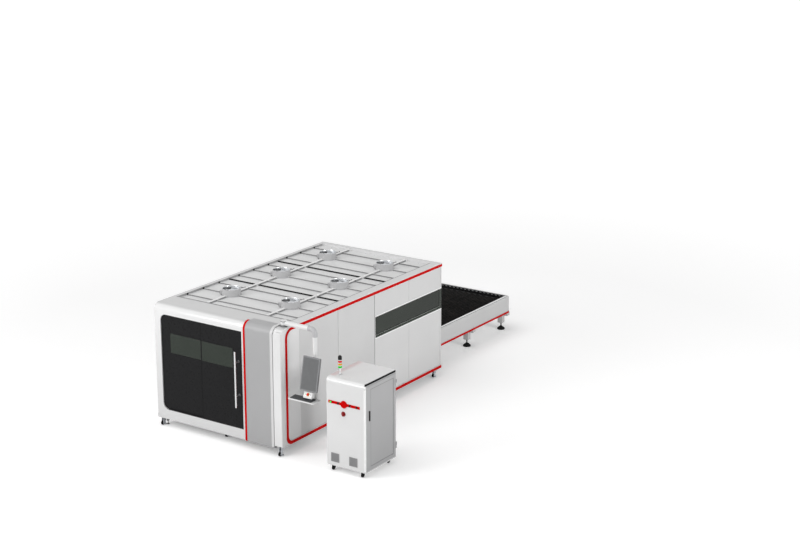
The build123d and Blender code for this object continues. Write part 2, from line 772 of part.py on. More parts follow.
def roof_panel(section):
    middle = section_middle(section)
    y0 = middle - SECTION / 2 + ROOF_GAP / 2
    y1 = middle + SECTION / 2 - ROOF_GAP / 2
    x0 = ROOF_X0 + ROOF_PLAY
    x1 = ROOF_X1 - ROOF_PLAY
    panel = block(x0, x1, y0, y1, ROOF_BED, ROOF_TOP)
    half = RIB_WIDTH / 2
    panel += both_sides(FAN_X - half, FAN_X + half, y0, y1, ROOF_TOP, ROOF_TOP + RIB_HEIGHT)
    for step in (-1, 0, 1):
        rib = middle + step * CROSS_RIB_PITCH
        half = CROSS_RIB_WIDTH / 2
        panel += block(x0, x1, rib - half, rib + half, ROOF_TOP, ROOF_TOP + CROSS_RIB_HEIGHT)
    for x in (-FAN_X, FAN_X):
        panel -= rod(x, middle, ROOF_TOP, ROOF_TOP + RIB_HEIGHT, FAN_RADIUS + FAN_RIB_GAP)
        flange_top = ROOF_TOP + FAN_FLANGE + FAN_RIB_GAP
        panel -= rod(x, middle, ROOF_TOP, flange_top, FAN_FLANGE_RADIUS + FAN_RIB_GAP)
        panel -= rod(x, middle, ROOF_BED, ROOF_TOP, FAN_RADIUS * FAN_HOLE_SHARE)
    return panel


def roof_panels():
    return group(*[roof_panel(section) for section in range(ROOF_SECTIONS)])


# Roof fans
def fan_housing():
    wall = area(FAN_INNER, FAN_RADIUS, 0, FAN_HEIGHT) + area(FAN_INNER, FAN_FLANGE_RADIUS, 0, FAN_FLANGE)
    wall = rounded(wall, FAN_WALL * FAN_RIM_SHARE, (-1, 1), (1, 1))
    duct = Pos(0, 0, ROOF_TOP) * turned(wall)
    foot = ROOF_TOP + FAN_MOTOR_FOOT
    half = FAN_ARM_WIDTH / 2
    for arm in range(FAN_ARMS):
        turn = Rot(0, 0, arm * 360 / FAN_ARMS)
        duct += turn * rod_x(0, FAN_INNER + FAN_WALL / 2, 0, foot + half, half)
    duct += rod(0, 0, foot, foot + FAN_MOTOR_HEIGHT, FAN_MOTOR_RADIUS)
    low = ROOF_TOP + FAN_BOX_LIFT
    near = FAN_RADIUS - FAN_WALL / 2
    half = FAN_BOX_WIDTH / 2
    side = block(near, near + FAN_BOX_DEPTH, -half, half, low, low + FAN_BOX_HEIGHT)
    return duct + Rot(0, 0, FAN_BOX_ANGLE) * side


def fan_housings():
    return group(*[Pos(x, y, 0) * fan_housing() for x, y in fan_places()])


def blade_section(radius, width, pitch):
    """Blade's cut at a radius, leaning by its pitch."""
    place = Pos(radius, 0, FAN_SEAT + FAN_HUB_HEIGHT / 2) * Rot(pitch, 0, 0)
    return place * (Plane.YZ * Rectangle(width, FAN_BLADE))


def fan_impeller():
    """Hub with twisted blades, drawn about the upright axis."""
    hub = area(0, FAN_HUB_RADIUS, 0, FAN_HUB_HEIGHT)
    hub = rounded(hub, FAN_HUB_HEIGHT * FAN_HUB_EDGE_SHARE, (1, 1))
    impeller = Pos(0, 0, FAN_SEAT) * turned(hub)
    root = blade_section(FAN_HUB_RADIUS * BLADE_ROOT_SHARE, FAN_ROOT_WIDTH, FAN_ROOT_PITCH)
    tip = blade_section(FAN_INNER - FAN_TIP_GAP, FAN_TIP_WIDTH, FAN_TIP_PITCH)
    vane = loft([root, tip])
    for blade in range(FAN_BLADES):
        impeller += Rot(0, 0, blade * 360 / FAN_BLADES) * vane
    return impeller


# Castors
def caster_frame(top, plate, width, trail, wheel_width, axle_z, cheek):
    """Top plate, two cheeks and an axle; the wheel trails toward the front."""
    frame = block(-width / 2, width / 2, -width / 2, width / 2, top - plate, top)
    side = polygon(
        (width / 2, top - plate),
        (-width / 2, top - plate),
        (-trail - CASTER_BOSS, axle_z - CASTER_BOSS),
        (-trail + CASTER_BOSS, axle_z - CASTER_BOSS),
    )
    inner = wheel_width / 2 + CASTER_CHEEK_GAP
    outer = inner + cheek
    frame += across(side, inner, outer)
    frame += across(side, -outer, -inner)
    return frame + rod_x(-outer, outer, -trail, axle_z, CASTER_AXLE_RADIUS)


def caster_wheel(trail, radius, width, axle_z):
    wheel = rod_x(-width / 2, width / 2, -trail, axle_z, radius)
    wheel = fillet(wheel.edges(), width * WHEEL_EDGE_SHARE)
    return wheel - rod_x(-width / 2, width / 2, -trail, axle_z, CASTER_AXLE_RADIUS)


def caster_places():
    front = CASTER_Y
    rear = LENGTH - CASTER_Y
    sides = [(x, y) for y in (front, rear) for x in (-CASTER_X, CASTER_X)]
    return sides + [(0, front + CASTER_MID_SHIFT), (0, rear - CASTER_MID_SHIFT)]


def levelling_caster():
    axle = CASTER_WHEEL_LIFT + CASTER_WHEEL_RADIUS
    caster = caster_frame(
        FLOOR_GAP, CASTER_PLATE, CASTER_PLATE_WIDTH, CASTER_TRAIL, CASTER_WHEEL_WIDTH, axle, CASTER_CHEEK
    )
    caster += rod(0, 0, 0, CASTER_PAD_HEIGHT, CASTER_PAD_RADIUS)
    caster += rod(0, 0, CASTER_PAD_HEIGHT, FLOOR_GAP - CASTER_PLATE, CASTER_STEM_RADIUS)
    nut = FLOOR_GAP / 2
    return caster + rod(0, 0, nut, nut + CASTER_NUT_HEIGHT, CASTER_NUT_RADIUS)


def levelling_casters():
    return group(*[Pos(x, y, 0) * levelling_caster() for x, y in caster_places()])


def caster_wheels():
    axle = CASTER_WHEEL_LIFT + CASTER_WHEEL_RADIUS
    wheel = caster_wheel(CASTER_TRAIL, CASTER_WHEEL_RADIUS, CASTER_WHEEL_WIDTH, axle)
    return group(*[Pos(x, y, 0) * wheel for x, y in caster_places()])


# Front door
def track_bar():
    """Sill track with one groove for each leaf."""
    bar = block(DOOR_LEFT + DOOR_RADIUS, DOOR_RIGHT, 0, PANEL, 0, TRACK_HEIGHT)
    for y0 in (TRACK_LIP, 2 * TRACK_LIP + GROOVE):
        bar -= block(DOOR_LEFT, DOOR_RIGHT, y0, y0 + GROOVE, GROOVE_DEPTH, TRACK_HEIGHT)
    return bar


def door_tracks():
    bar = track_bar()
    return group(Pos(0, 0, DOOR_SILL) * bar, Pos(0, 0, DOOR_HEAD) * mirror(bar, about=Plane.XY))


def pane(x0, x1, y0):
    return block(x0, x1, y0, y0 + LEAF, PANE_SILL, PANE_HEAD)


def fixed_window():
    return pane(DOOR_LEFT + PANE_OUTER, DOOR_SEAM - PANE_SEAM, FIXED_FRONT)


def fixed_leaf():
    face = area(DOOR_LEFT, DOOR_SEAM + DOOR_OVERLAP, DOOR_SILL + GROOVE_DEPTH, DOOR_HEAD - GROOVE_DEPTH)
    face = rounded(face, DOOR_RADIUS - GROOVE_DEPTH, (-1, 1), (-1, -1))
    return inward(face, FIXED_FRONT, FIXED_FRONT + LEAF) - fixed_window()


def sliding_window():
    return pane(DOOR_SEAM + PANE_SEAM, DOOR_RIGHT - PANE_OUTER, SLIDE_FRONT)


def sliding_leaf():
    low = DOOR_SILL + GROOVE_DEPTH + RUN
    high = DOOR_HEAD - GROOVE_DEPTH - RUN
    leaf = block(DOOR_SEAM, DOOR_RIGHT - DOOR_END_GAP, SLIDE_FRONT, SLIDE_FRONT + LEAF, low, high)
    return leaf - sliding_window()


def door_handle():
    half = HANDLE_LENGTH / 2
    bar = rod(HANDLE_X, HANDLE_Y, HANDLE_MIDDLE - half, HANDLE_MIDDLE + half, HANDLE_RADIUS)
    bar = fillet(bar.edges().filter_by(GeomType.CIRCLE), HANDLE_RADIUS * HANDLE_EDGE_SHARE)
    for way in (-1, 1):
        z = HANDLE_MIDDLE + way * HANDLE_POST_SPAN / 2
        bar += rod_y(HANDLE_X, HANDLE_Y, SLIDE_FRONT, z, HANDLE_POST_RADIUS)
        bar += rod_y(HANDLE_X, SLIDE_FRONT - ROSE, SLIDE_FRONT, z, ROSE_RADIUS)
    return bar


# Cutting bed and gantry
def ledges(outer, y0, y1):
    """Two heights of pallet ledge on both sides."""
    low = both_sides(LEDGE_EDGE, outer, y0, y1, LEDGE_LOW - LEDGE, LEDGE_LOW)
    return low + both_sides(LEDGE_EDGE, outer, y0, y1, LEDGE_HIGH - LEDGE, LEDGE_HIGH)


def bed_ties():
    """Starts of the bed's cross members along the bed."""
    step = (BED_Y1 - BED_Y0 - BED_TIE) / (BED_TIES - 1)
    return [BED_Y0 + tie * step for tie in range(BED_TIES)]


def machine_bed():
    bed = both_sides(BED_INNER, BED_OUTER, BED_Y0, BED_Y1, SKIRT_TOP, BED_TOP)
    for y0 in bed_ties():
        bed += block(-BED_INNER, BED_INNER, y0, y0 + BED_TIE, SKIRT_TOP, SKIRT_TOP + BED_TIE)
    return bed + ledges(BED_INNER, PALLET_IN_Y0, BED_Y1)


def bed_rails():
    middle = (BED_INNER + BED_OUTER) / 2
    half = GUIDE_WIDTH / 2
    guide = block(middle - half, middle + half, BED_Y0, BED_Y1, BED_TOP, GUIDE_TOP)
    x0 = middle + RACK_SHIFT - RACK_WIDTH / 2
    rack = block(x0, x0 + RACK_WIDTH, BED_Y0, BED_Y1, BED_TOP, BED_TOP + RACK_HEIGHT)
    return group(guide, rack, mirrored(guide), mirrored(rack))


def gantry():
    half = TRUCK_LENGTH / 2
    inner = BED_INNER + TRUCK_MARGIN
    outer = BED_OUTER - TRUCK_MARGIN
    frame = both_sides(inner, outer, GANTRY_Y - half, GANTRY_Y + half, TRUCK_BOTTOM, BEAM_BOTTOM)
    top = BEAM_BOTTOM + BEAM_HEIGHT
    frame += block(-outer, outer, BEAM_FRONT, BEAM_FRONT + BEAM_DEPTH, BEAM_BOTTOM, top)
    for z in beam_rail_places():
        frame += beam_rail(z, outer, 0)
    motor_y = GANTRY_Y + half - TRUCK_MOTOR_INSET
    for x in (-(inner + outer) / 2, (inner + outer) / 2):
        frame += rod(x, motor_y, BEAM_BOTTOM, BEAM_BOTTOM + TRUCK_MOTOR_HEIGHT, TRUCK_MOTOR_RADIUS)
    return frame


def beam_rail_places():
    """Heights of the two guide rails on the front of the beam."""
    return (BEAM_BOTTOM + BEAM_RAIL_INSET, BEAM_BOTTOM + BEAM_HEIGHT - BEAM_RAIL_INSET)


def beam_rail(z, reach, grow):
    """Guide rail along the beam, grown by a clearance where a bearing is cut for it."""
    half = BEAM_RAIL / 2 + grow
    return block(-reach, reach, BEAM_FRONT - BEAM_RAIL_PROUD - grow, BEAM_FRONT, z - half, z + half)


def carriage():
    """Plate on four bearings that straddle the rails of the beam."""
    low = BEAM_BOTTOM - CARRIAGE_DROP
    half = CARRIAGE_WIDTH / 2
    plate = block(-half, half, CARRIAGE_BACK - CARRIAGE_PLATE, CARRIAGE_BACK, low, low + CARRIAGE_HEIGHT)
    rise = BEARING_HEIGHT / 2
    near = BEAM_FRONT - BEARING_GAP
    for z in beam_rail_places():
        bearings = both_sides(half - BEARING_WIDTH, half, CARRIAGE_BACK, near, z - rise, z + rise)
        plate += bearings - beam_rail(z, half, RUN)
    return plate


def cutting_head():
    """Body that slides on the carriage, with a turned barrel and nozzle below and a collimator above."""
    back = CARRIAGE_BACK - CARRIAGE_PLATE - RUN
    body = NOZZLE_TIP + NOZZLE_LENGTH + BARREL_LENGTH
    half = HEAD_WIDTH / 2
    head = block(-half, half, back - HEAD_DEPTH, back, body, body + HEAD_BODY)
    head = fillet(head.edges().filter_by(Axis.Z), HEAD_EDGE)
    barrel = polygon(
        (0, 0),
        (NOZZLE_RADIUS, 0),
        (NOZZLE_NUT_RADIUS, NOZZLE_LENGTH * NOZZLE_CONE_SHARE),
        (NOZZLE_NUT_RADIUS, NOZZLE_LENGTH),
        (CERAMIC_RADIUS, NOZZLE_LENGTH),
        (HEAD_BARREL_RADIUS, NOZZLE_LENGTH + BARREL_LENGTH * BARREL_TAPER_SHARE),
        (HEAD_BARREL_RADIUS, NOZZLE_LENGTH + BARREL_LENGTH),
        (0, NOZZLE_LENGTH + BARREL_LENGTH),
    )
    middle = back - HEAD_DEPTH / 2
    head += Pos(0, middle, NOZZLE_TIP) * turned(barrel)
    top = body + HEAD_BODY
    head += rod(0, middle, top, top + COLLIMATOR_LENGTH, COLLIMATOR_RADIUS)
    top += COLLIMATOR_LENGTH
    return head + rod(0, middle, top, top + CONNECTOR_LENGTH, CONNECTOR_RADIUS)


def slag_trays():
    """Open trays between the cross members of the bed."""
    trays = []
    half = BED_INNER - TRAY_GAP
    starts = bed_ties()
    for y0, y1 in zip(starts[:-1], starts[1:]):
        low = y0 + BED_TIE + TRAY_GAP
        high = y1 - TRAY_GAP
        tray = block(-half, half, low, high, SKIRT_TOP, SKIRT_TOP + TRAY_HEIGHT)
        wall = half - TRAY_WALL
        floor = SKIRT_TOP + TRAY_WALL
        trays.append(
            tray - block(-wall, wall, low + TRAY_WALL, high - TRAY_WALL, floor, SKIRT_TOP + TRAY_HEIGHT)
        )
    return group(*trays)


# Exchange table
def leg_places():
    return [(x, LEG_Y0 + pair * LEG_PITCH) for pair in range(LEG_PAIRS) for x in (-LEG_X, LEG_X)]


def table_frame():
    inner = area(-TABLE_INNER, TABLE_INNER, LENGTH, END_INNER)
    frame = upward(table_outline(0), TABLE_BOTTOM, TABLE_TOP)
    edges = frame.faces().sort_by(Axis.Z)[-1].edges()
    edges = [edge for edge in edges if edge.center().Y > LENGTH + SEAM]
    frame = chamfer(edges, RAIL_EDGE) - upward(inner, TABLE_BOTTOM, TABLE_TOP)
    frame += ledges(TABLE_INNER, LENGTH, END_INNER)
    slot_top = TABLE_TOP - END_SLOT_DROP
    step = 2 * TABLE_INNER / END_SLOTS
    for slot in range(END_SLOTS):
        x0 = (slot + 0.5) * step - TABLE_INNER - END_SLOT_WIDTH / 2
        frame -= block(x0, x0 + END_SLOT_WIDTH, END_INNER, TABLE_END, slot_top - END_SLOT_HEIGHT, slot_top)
    tie_low = TABLE_BOTTOM - TIE_HEIGHT
    tie_end = TABLE_SIDE - RAIL_EDGE
    for pair in range(LEG_PAIRS):
        y0 = LEG_Y0 + pair * LEG_PITCH - TIE_WIDTH / 2
        frame += block(-tie_end, tie_end, y0, y0 + TIE_WIDTH, tie_low, TABLE_BOTTOM)
    half = LEG_WIDTH / 2
    for x, y in leg_places():
        frame += block(x - half, x + half, y - half, y + half, LEG_BOTTOM, tie_low)
    return frame


def table_foot():
    side = polygon(
        (0, 0),
        (FOOT_RADIUS, 0),
        (FOOT_RADIUS, FOOT_RIM),
        (FOOT_NECK_RADIUS, FOOT_HEIGHT),
        (FOOT_STUD_RADIUS, FOOT_HEIGHT),
        (FOOT_STUD_RADIUS, LEG_BOTTOM - FOOT_NUT_HEIGHT),
        (FOOT_NUT_RADIUS, LEG_BOTTOM - FOOT_NUT_HEIGHT),
        (FOOT_NUT_RADIUS, LEG_BOTTOM),
        (0, LEG_BOTTOM),
    )
    return revolve(Plane.XZ * side, Axis.Z)


def table_feet():
    return group(*[Pos(x, y, 0) * table_foot() for x, y in leg_places()])


def exchange_drive():
    top = TABLE_BOTTOM - TIE_HEIGHT
    half = DRIVE_BOX / 2
    drive = block(DRIVE_X - half, DRIVE_X + half, LEG_Y1 - half, LEG_Y1 + half, top - DRIVE_BOX, top)
    motor = area(0, DRIVE_RADIUS, 0, DRIVE_LENGTH)
    for fin in range(DRIVE_FINS):
        low = (fin + 1) * DRIVE_FIN_PITCH
        gap = DRIVE_FIN_PITCH * DRIVE_FIN_SHARE
        motor -= area(DRIVE_RADIUS - DRIVE_FIN, DRIVE_RADIUS, low, low + gap)
    return drive + Pos(DRIVE_X - half, LEG_Y1, top - half) * Rot(0, -90, 0) * turned(motor)


# Pallets
def pallet(ledge, y0):
    """Welded tube frame that slides on a ledge height."""
    low = ledge + RUN
    y1 = y0 + PALLET_LENGTH
    inner = PALLET_SIDE - PALLET_TUBE
    frame = block(-PALLET_SIDE, PALLET_SIDE, y0, y1, low, low + PALLET_TUBE_HEIGHT)
    frame -= block(-inner, inner, y0 + PALLET_TUBE, y1 - PALLET_TUBE, low, low + PALLET_TUBE_HEIGHT)
    step = (PALLET_LENGTH - PALLET_TUBE) / (PALLET_TIES + 1)
    for tie in range(PALLET_TIES):
        start = y0 + (tie + 1) * step
        frame += block(-inner, inner, start, start + PALLET_TUBE, low, low + PALLET_TIE_HEIGHT)
    return frame


def slats(ledge, y0):
    """Toothed blades across a pallet."""
    inner = PALLET_SIDE - PALLET_TUBE
    low = ledge + RUN + SLAT_RISE
    tip = low + SLAT_HEIGHT
    step = 2 * inner / SLAT_TEETH
    points = [(inner, low), (-inner, low)]
    for tooth in range(SLAT_TEETH):
        start = tooth * step - inner
        points.append((start, tip - SLAT_TOOTH))
        points.append((start + step / 2, tip))
    points.append((inner, tip - SLAT_TOOTH))
    blade = inward(polygon(*points), 0, SLAT)
    room = PALLET_LENGTH - 2 * PALLET_TUBE
    count = int(room / SLAT_PITCH)
    first = y0 + PALLET_TUBE + (room - (count - 1) * SLAT_PITCH - SLAT) / 2
    return group(*[Pos(0, first + index * SLAT_PITCH, 0) * blade for index in range(count)])


def upper_pallet():
    return pallet(LEDGE_HIGH, PALLET_OUT_Y0)


def upper_slats():
    return slats(LEDGE_HIGH, PALLET_OUT_Y0)


def lower_pallet():
    return pallet(LEDGE_LOW, PALLET_IN_Y0)


def lower_slats():
    return slats(LEDGE_LOW, PALLET_IN_Y0)


# Operator console
def arm_base():
    top = HEIGHT + PIVOT_FLANGE
    base = rod(PIVOT_X, PIVOT_Y, HEIGHT, top, PIVOT_FLANGE_RADIUS)
    return base + rod(PIVOT_X, PIVOT_Y, top, top + ARM_HUB_HEIGHT - ARM_HUB_CAP, PIVOT_PIN_RADIUS)


def swept(path, radius):
    start = Plane(origin=path @ 0, z_dir=path % 0)
    return sweep(start * Circle(radius), path=path)


def clevis():
    """Two cheeks and a pin that carry the monitor's lug."""
    inner = LUG_WIDTH / 2 + RUN
    outer = inner + CLEVIS_CHEEK
    y0 = MONITOR_PIVOT_Y - CLEVIS_FRONT
    low = MONITOR_PIVOT_Z - CLEVIS_HALF
    high = MONITOR_PIVOT_Z + CLEVIS_HALF
    shape = block(POST_X + inner, POST_X + outer, y0, PIVOT_Y, low, high)
    shape += block(POST_X - outer, POST_X - inner, y0, PIVOT_Y, low, high)
    shape += block(POST_X - outer, POST_X + outer, MONITOR_PIVOT_Y + 2 * LUG_RADIUS, PIVOT_Y, low, high)
    return shape + rod_x(POST_X - outer, POST_X + outer, MONITOR_PIVOT_Y, MONITOR_PIVOT_Z, LUG_PIN_RADIUS)


def console_arm():
    low = HEIGHT + PIVOT_FLANGE + RUN
    top = HEIGHT + PIVOT_FLANGE + ARM_HUB_HEIGHT
    arm = rod(PIVOT_X, PIVOT_Y, low, top, ARM_HUB_RADIUS)
    start = PIVOT_X + ARM_HUB_RADIUS * ARM_START_SHARE
    corner = (POST_X, PIVOT_Y, ARM_Z)
    tube = FilletPolyline((start, PIVOT_Y, ARM_Z), corner, (POST_X, PIVOT_Y, POST_BOTTOM), radius=ARM_BEND)
    ends = ((POST_X - ELBOW_LENGTH, PIVOT_Y, ARM_Z), (POST_X, PIVOT_Y, ARM_Z - ELBOW_LENGTH))
    elbow = FilletPolyline(ends[0], corner, ends[1], radius=ARM_BEND)
    arm += swept(tube, ARM_RADIUS)
    arm += rod_x(start, POST_X - ELBOW_LENGTH, PIVOT_Y, ARM_Z, ARM_BEAM_RADIUS)
    arm += swept(elbow, ELBOW_RADIUS)
    arm -= rod(PIVOT_X, PIVOT_Y, low, top - ARM_HUB_CAP + RUN, PIVOT_PIN_RADIUS + RUN)
    arm += clevis()
    half = TRAY_BRACKET_WIDTH / 2
    bracket_y0 = TRAY_Y1 - TRAY_DEPTH / 2
    arm += block(POST_X - half, POST_X + half, bracket_y0, PIVOT_Y, POST_BOTTOM, TRAY_Z)
    half = BOX_ARM_WIDTH / 2
    low = BOX_BOTTOM + (BOX_HEIGHT - BOX_ARM_HEIGHT) / 2
    return arm + block(POST_X - half, POST_X + half, BOX_Y1, PIVOT_Y, low, low + BOX_ARM_HEIGHT)


def at_monitor(shape):
    """Lean a shape drawn about the monitor's tilt axis back to its place."""
    return Pos(POST_X, MONITOR_PIVOT_Y, MONITOR_PIVOT_Z) * Rot(-MONITOR_TILT, 0, 0) * shape


def screen_block():
    front = -MONITOR_PIVOT_BACK - MONITOR_DEPTH
    half = MONITOR_WIDTH / 2 - SCREEN_BORDER
    rise = MONITOR_HEIGHT / 2 - SCREEN_BORDER
    return block(-half, half, front, front + SCREEN, -rise, rise)


def monitor():
    half = MONITOR_WIDTH / 2
    rise = MONITOR_HEIGHT / 2
    back = -MONITOR_PIVOT_BACK
    body = block(-half, half, back - MONITOR_DEPTH, back, -rise, rise)
    body = fillet(body.edges().filter_by(Axis.Y), MONITOR_EDGE) - screen_block()
    width = LUG_WIDTH / 2
    body += block(-width, width, back, 0, -LUG_RADIUS, LUG_RADIUS)
    body += rod_x(-width, width, 0, 0, LUG_RADIUS)
    return at_monitor(body - rod_x(-width, width, 0, 0, LUG_PIN_RADIUS + RUN))


def monitor_screen():
    return at_monitor(screen_block())


def stop_frame():
    """Place of the stop button: on the slope of its box, pointing out of it."""
    rise = BOX_HEIGHT - BOX_LIP
    middle = (POST_X, BOX_Y0 + BOX_SLOPE / 2, BOX_BOTTOM + BOX_LIP + rise / 2)
    return Plane(origin=middle, x_dir=(1, 0, 0), z_dir=(0, -rise, BOX_SLOPE))


def button_box():
    side = polygon(
        (BOX_Y1, BOX_BOTTOM),
        (BOX_Y0, BOX_BOTTOM),
        (BOX_Y0, BOX_BOTTOM + BOX_LIP),
        (BOX_Y0 + BOX_SLOPE, BOX_BOTTOM + BOX_HEIGHT),
        (BOX_Y1, BOX_BOTTOM + BOX_HEIGHT),
    )
    box = across(side, POST_X - BOX_WIDTH / 2, POST_X + BOX_WIDTH / 2)
    bore = Cylinder(STOP_STEM_RADIUS + RUN, STOP_BORE_DEPTH, align=(Align.CENTER, Align.CENTER, Align.MAX))
    return box - stop_frame() * bore


def stop_button():
    length = STOP_STEM_IN + STOP_STEM_OUT
    stem = Pos(0, 0, -STOP_STEM_IN) * Cylinder(STOP_STEM_RADIUS, length, align=ON_FLOOR)
    cap = Pos(0, 0, STOP_STEM_OUT) * Cylinder(STOP_RADIUS, STOP_CAP, align=ON_FLOOR)
    cap = fillet(cap.edges().sort_by(Axis.Z)[-1:], STOP_CAP * STOP_EDGE_SHARE)
    return stop_frame() * (stem + cap)


def keyboard_tray():
    y0 = TRAY_Y1 - TRAY_DEPTH
    x1 = TRAY_X0 + TRAY_WIDTH
    tray = block(TRAY_X0, x1, y0, TRAY_Y1, TRAY_Z, TRAY_Z + TRAY_SHEET)
    lip = TRAY_Z + TRAY_SHEET
    return tray + block(TRAY_X0, x1, y0, y0 + TRAY_LIP, lip, lip + TRAY_LIP)


def keyboard():
    y0 = TRAY_Y1 - TRAY_DEPTH + KEYBOARD_EDGE
    low = TRAY_Z + TRAY_SHEET
    side = polygon(
        (y0, low),
        (y0 + KEYBOARD_DEPTH, low),
        (y0 + KEYBOARD_DEPTH, low + KEYBOARD_BACK),
        (y0, low + KEYBOARD_FRONT),
    )
    x0 = TRAY_X0 + KEYBOARD_EDGE
    return across(side, x0, x0 + KEYBOARD_WIDTH)


# Control cabinet
def cabinet_shell():
    outline = area(CABINET_FRONT, CABINET_REAR, CABINET_BOTTOM, CABINET_TOP)
    outline = rounded(outline, CABINET_RADIUS, (-1, 1))
    outline = rounded(outline, CABINET_EDGE, (-1, -1))
    shell = across(outline, CABINET_LEFT, CABINET_RIGHT)
    inner = area(
        CABINET_FRONT + CABINET_WALL, CABINET_REAR - CABINET_WALL, DOOR_Z0, CABINET_TOP - CABINET_WALL
    )
    inner = rounded(inner, CABINET_RADIUS - CABINET_WALL, (-1, 1))
    shell -= across(inner, CABINET_LEFT + CABINET_WALL, DOOR_BACK - CABINET_WALL)
    mouth = DOOR_BACK - CABINET_WALL
    stile = DOOR_Y0 + CABINET_WALL
    sill = DOOR_Z0 + CABINET_WALL
    shell -= block(mouth, DOOR_BACK, stile, CABINET_REAR - 2 * CABINET_WALL, sill, DOOR_Z1 - CABINET_WALL)
    shell -= block(DOOR_BACK, CABINET_RIGHT, DOOR_Y0, CABINET_REAR, DOOR_Z0, DOOR_Z1)
    bore_end = CABINET_FRONT + SWITCH_PIN_DEPTH + RUN
    shell -= rod_y(CABINET_LEFT + SWITCH_X, CABINET_FRONT, bore_end, SWITCH_Z, SWITCH_PIN_RADIUS + RUN)
    for z in hinge_places():
        shell += rod(HINGE_X, HINGE_Y, z - HINGE_HEIGHT, z - RUN, HINGE_RADIUS)
        x0 = HINGE_X - HINGE_RADIUS - HINGE_LEAF_WIDTH
        shell += block(x0, HINGE_X, CABINET_REAR, CABINET_REAR + HINGE_LEAF, z - HINGE_HEIGHT, z - RUN)
    return shell


def hinge_places():
    """Heights of the split between the two halves of each hinge."""
    return (DOOR_Z0 + HINGE_END, DOOR_Z1 - HINGE_END)


def cabinet_door():
    x0 = DOOR_BACK + DOOR_SEAT
    y0 = DOOR_Y0 + DOOR_PLAY
    y1 = CABINET_REAR - DOOR_PLAY
    z0 = DOOR_Z0 + DOOR_PLAY
    z1 = DOOR_Z1 - DOOR_TOP_GAP
    door = block(x0, CABINET_RIGHT, y0, y1, z0, z1)
    inset = DOOR_FIELD_INSET
    field = CABINET_RIGHT - DOOR_FIELD_DEPTH
    door -= block(field, CABINET_RIGHT, y0 + 2 * inset, y1 - inset, z0 + inset, z1 - inset)
    bore_end = CABINET_RIGHT - LATCH_PIN_DEPTH - RUN
    door -= rod_x(bore_end, CABINET_RIGHT, LATCH_Y, latch_pivot(), LATCH_PIN_RADIUS + RUN)
    for z in hinge_places():
        door += rod(HINGE_X, HINGE_Y, z, z + HINGE_HEIGHT, HINGE_RADIUS)
        leaf_y0 = y1 - HINGE_LEAF_WIDTH
        door += block(CABINET_RIGHT, CABINET_RIGHT + HINGE_LEAF, leaf_y0, HINGE_Y, z, z + HINGE_HEIGHT)
    return door


def latch_pivot():
    return LATCH_MIDDLE + LATCH_LENGTH / 2 - LATCH_WIDTH / 2


def cabinet_latch():
    """Lever that hangs from a pin in the door and turns flat against it."""
    back = CABINET_RIGHT + RUN
    front = back + LATCH_LEVER
    half = LATCH_WIDTH / 2
    low = LATCH_MIDDLE - LATCH_LENGTH / 2
    lever = block(back, front, LATCH_Y - half, LATCH_Y + half, low, latch_pivot())
    lever += rod_x(back, front, LATCH_Y, latch_pivot(), half)
    return lever + rod_x(CABINET_RIGHT - LATCH_PIN_DEPTH, back, LATCH_Y, latch_pivot(), LATCH_PIN_RADIUS)


def cabinet_fascia():
    x0 = CABINET_LEFT + FASCIA_LEFT
    half = FASCIA_HEIGHT / 2
    face = CABINET_FRONT - FASCIA
    bar = block(x0, x0 + FASCIA_WIDTH, face, CABINET_FRONT, FASCIA_Z - half, FASCIA_Z + half)
    disc_x = CABINET_LEFT + FASCIA_DISC_X
    return bar + rod_y(disc_x, CABINET_FRONT - FASCIA_DISC, CABINET_FRONT, FASCIA_Z, FASCIA_DISC_RADIUS)


def fascia_knob(x):
    """Round lamp or button on the red bar."""
    back = CABINET_FRONT - FASCIA
    return rod_y(CABINET_LEFT + x, back - LAMP_HEIGHT, back, FASCIA_Z, LAMP_RADIUS)


def power_lamp():
    return fascia_knob(LAMP_X)


def push_buttons():
    return group(*[fascia_knob(x) for x in BUTTON_X])


def main_switch():
    x = CABINET_LEFT + SWITCH_X
    back = CABINET_FRONT - RUN
    knob = back - SWITCH_PLATE
    grip = knob - SWITCH_KNOB
    switch = rod_y(x, knob, back, SWITCH_Z, SWITCH_RADIUS)
    switch += rod_y(x, grip, knob, SWITCH_Z, SWITCH_KNOB_RADIUS)
    half = SWITCH_GRIP_WIDTH / 2
    reach = SWITCH_KNOB_RADIUS
    switch += block(x - half, x + half, grip - SWITCH_GRIP, grip, SWITCH_Z - reach, SWITCH_Z + reach)
    return switch + rod_y(x, back, CABINET_FRONT + SWITCH_PIN_DEPTH, SWITCH_Z, SWITCH_PIN_RADIUS)


def grille(x):
    """Framed vent with level slots."""
    half = GRILLE_WIDTH / 2
    rise = GRILLE_HEIGHT / 2
    face = CABINET_FRONT - GRILLE
    plate = block(x - half, x + half, face, CABINET_FRONT, GRILLE_Z - rise, GRILLE_Z + rise)
    step = (GRILLE_HEIGHT - 2 * GRILLE_BORDER) / GRILLE_SLOTS
    wide = half - GRILLE_BORDER
    for slot in range(GRILLE_SLOTS):
        low = GRILLE_Z - rise + GRILLE_BORDER + slot * step
        high = low + step * GRILLE_SLOT_SHARE
        plate -= block(x - wide, x + wide, face, face + GRILLE / 2, low, high)
    return plate


def cabinet_grilles():
    return group(*[grille(CABINET_LEFT + x) for x in GRILLE_X])


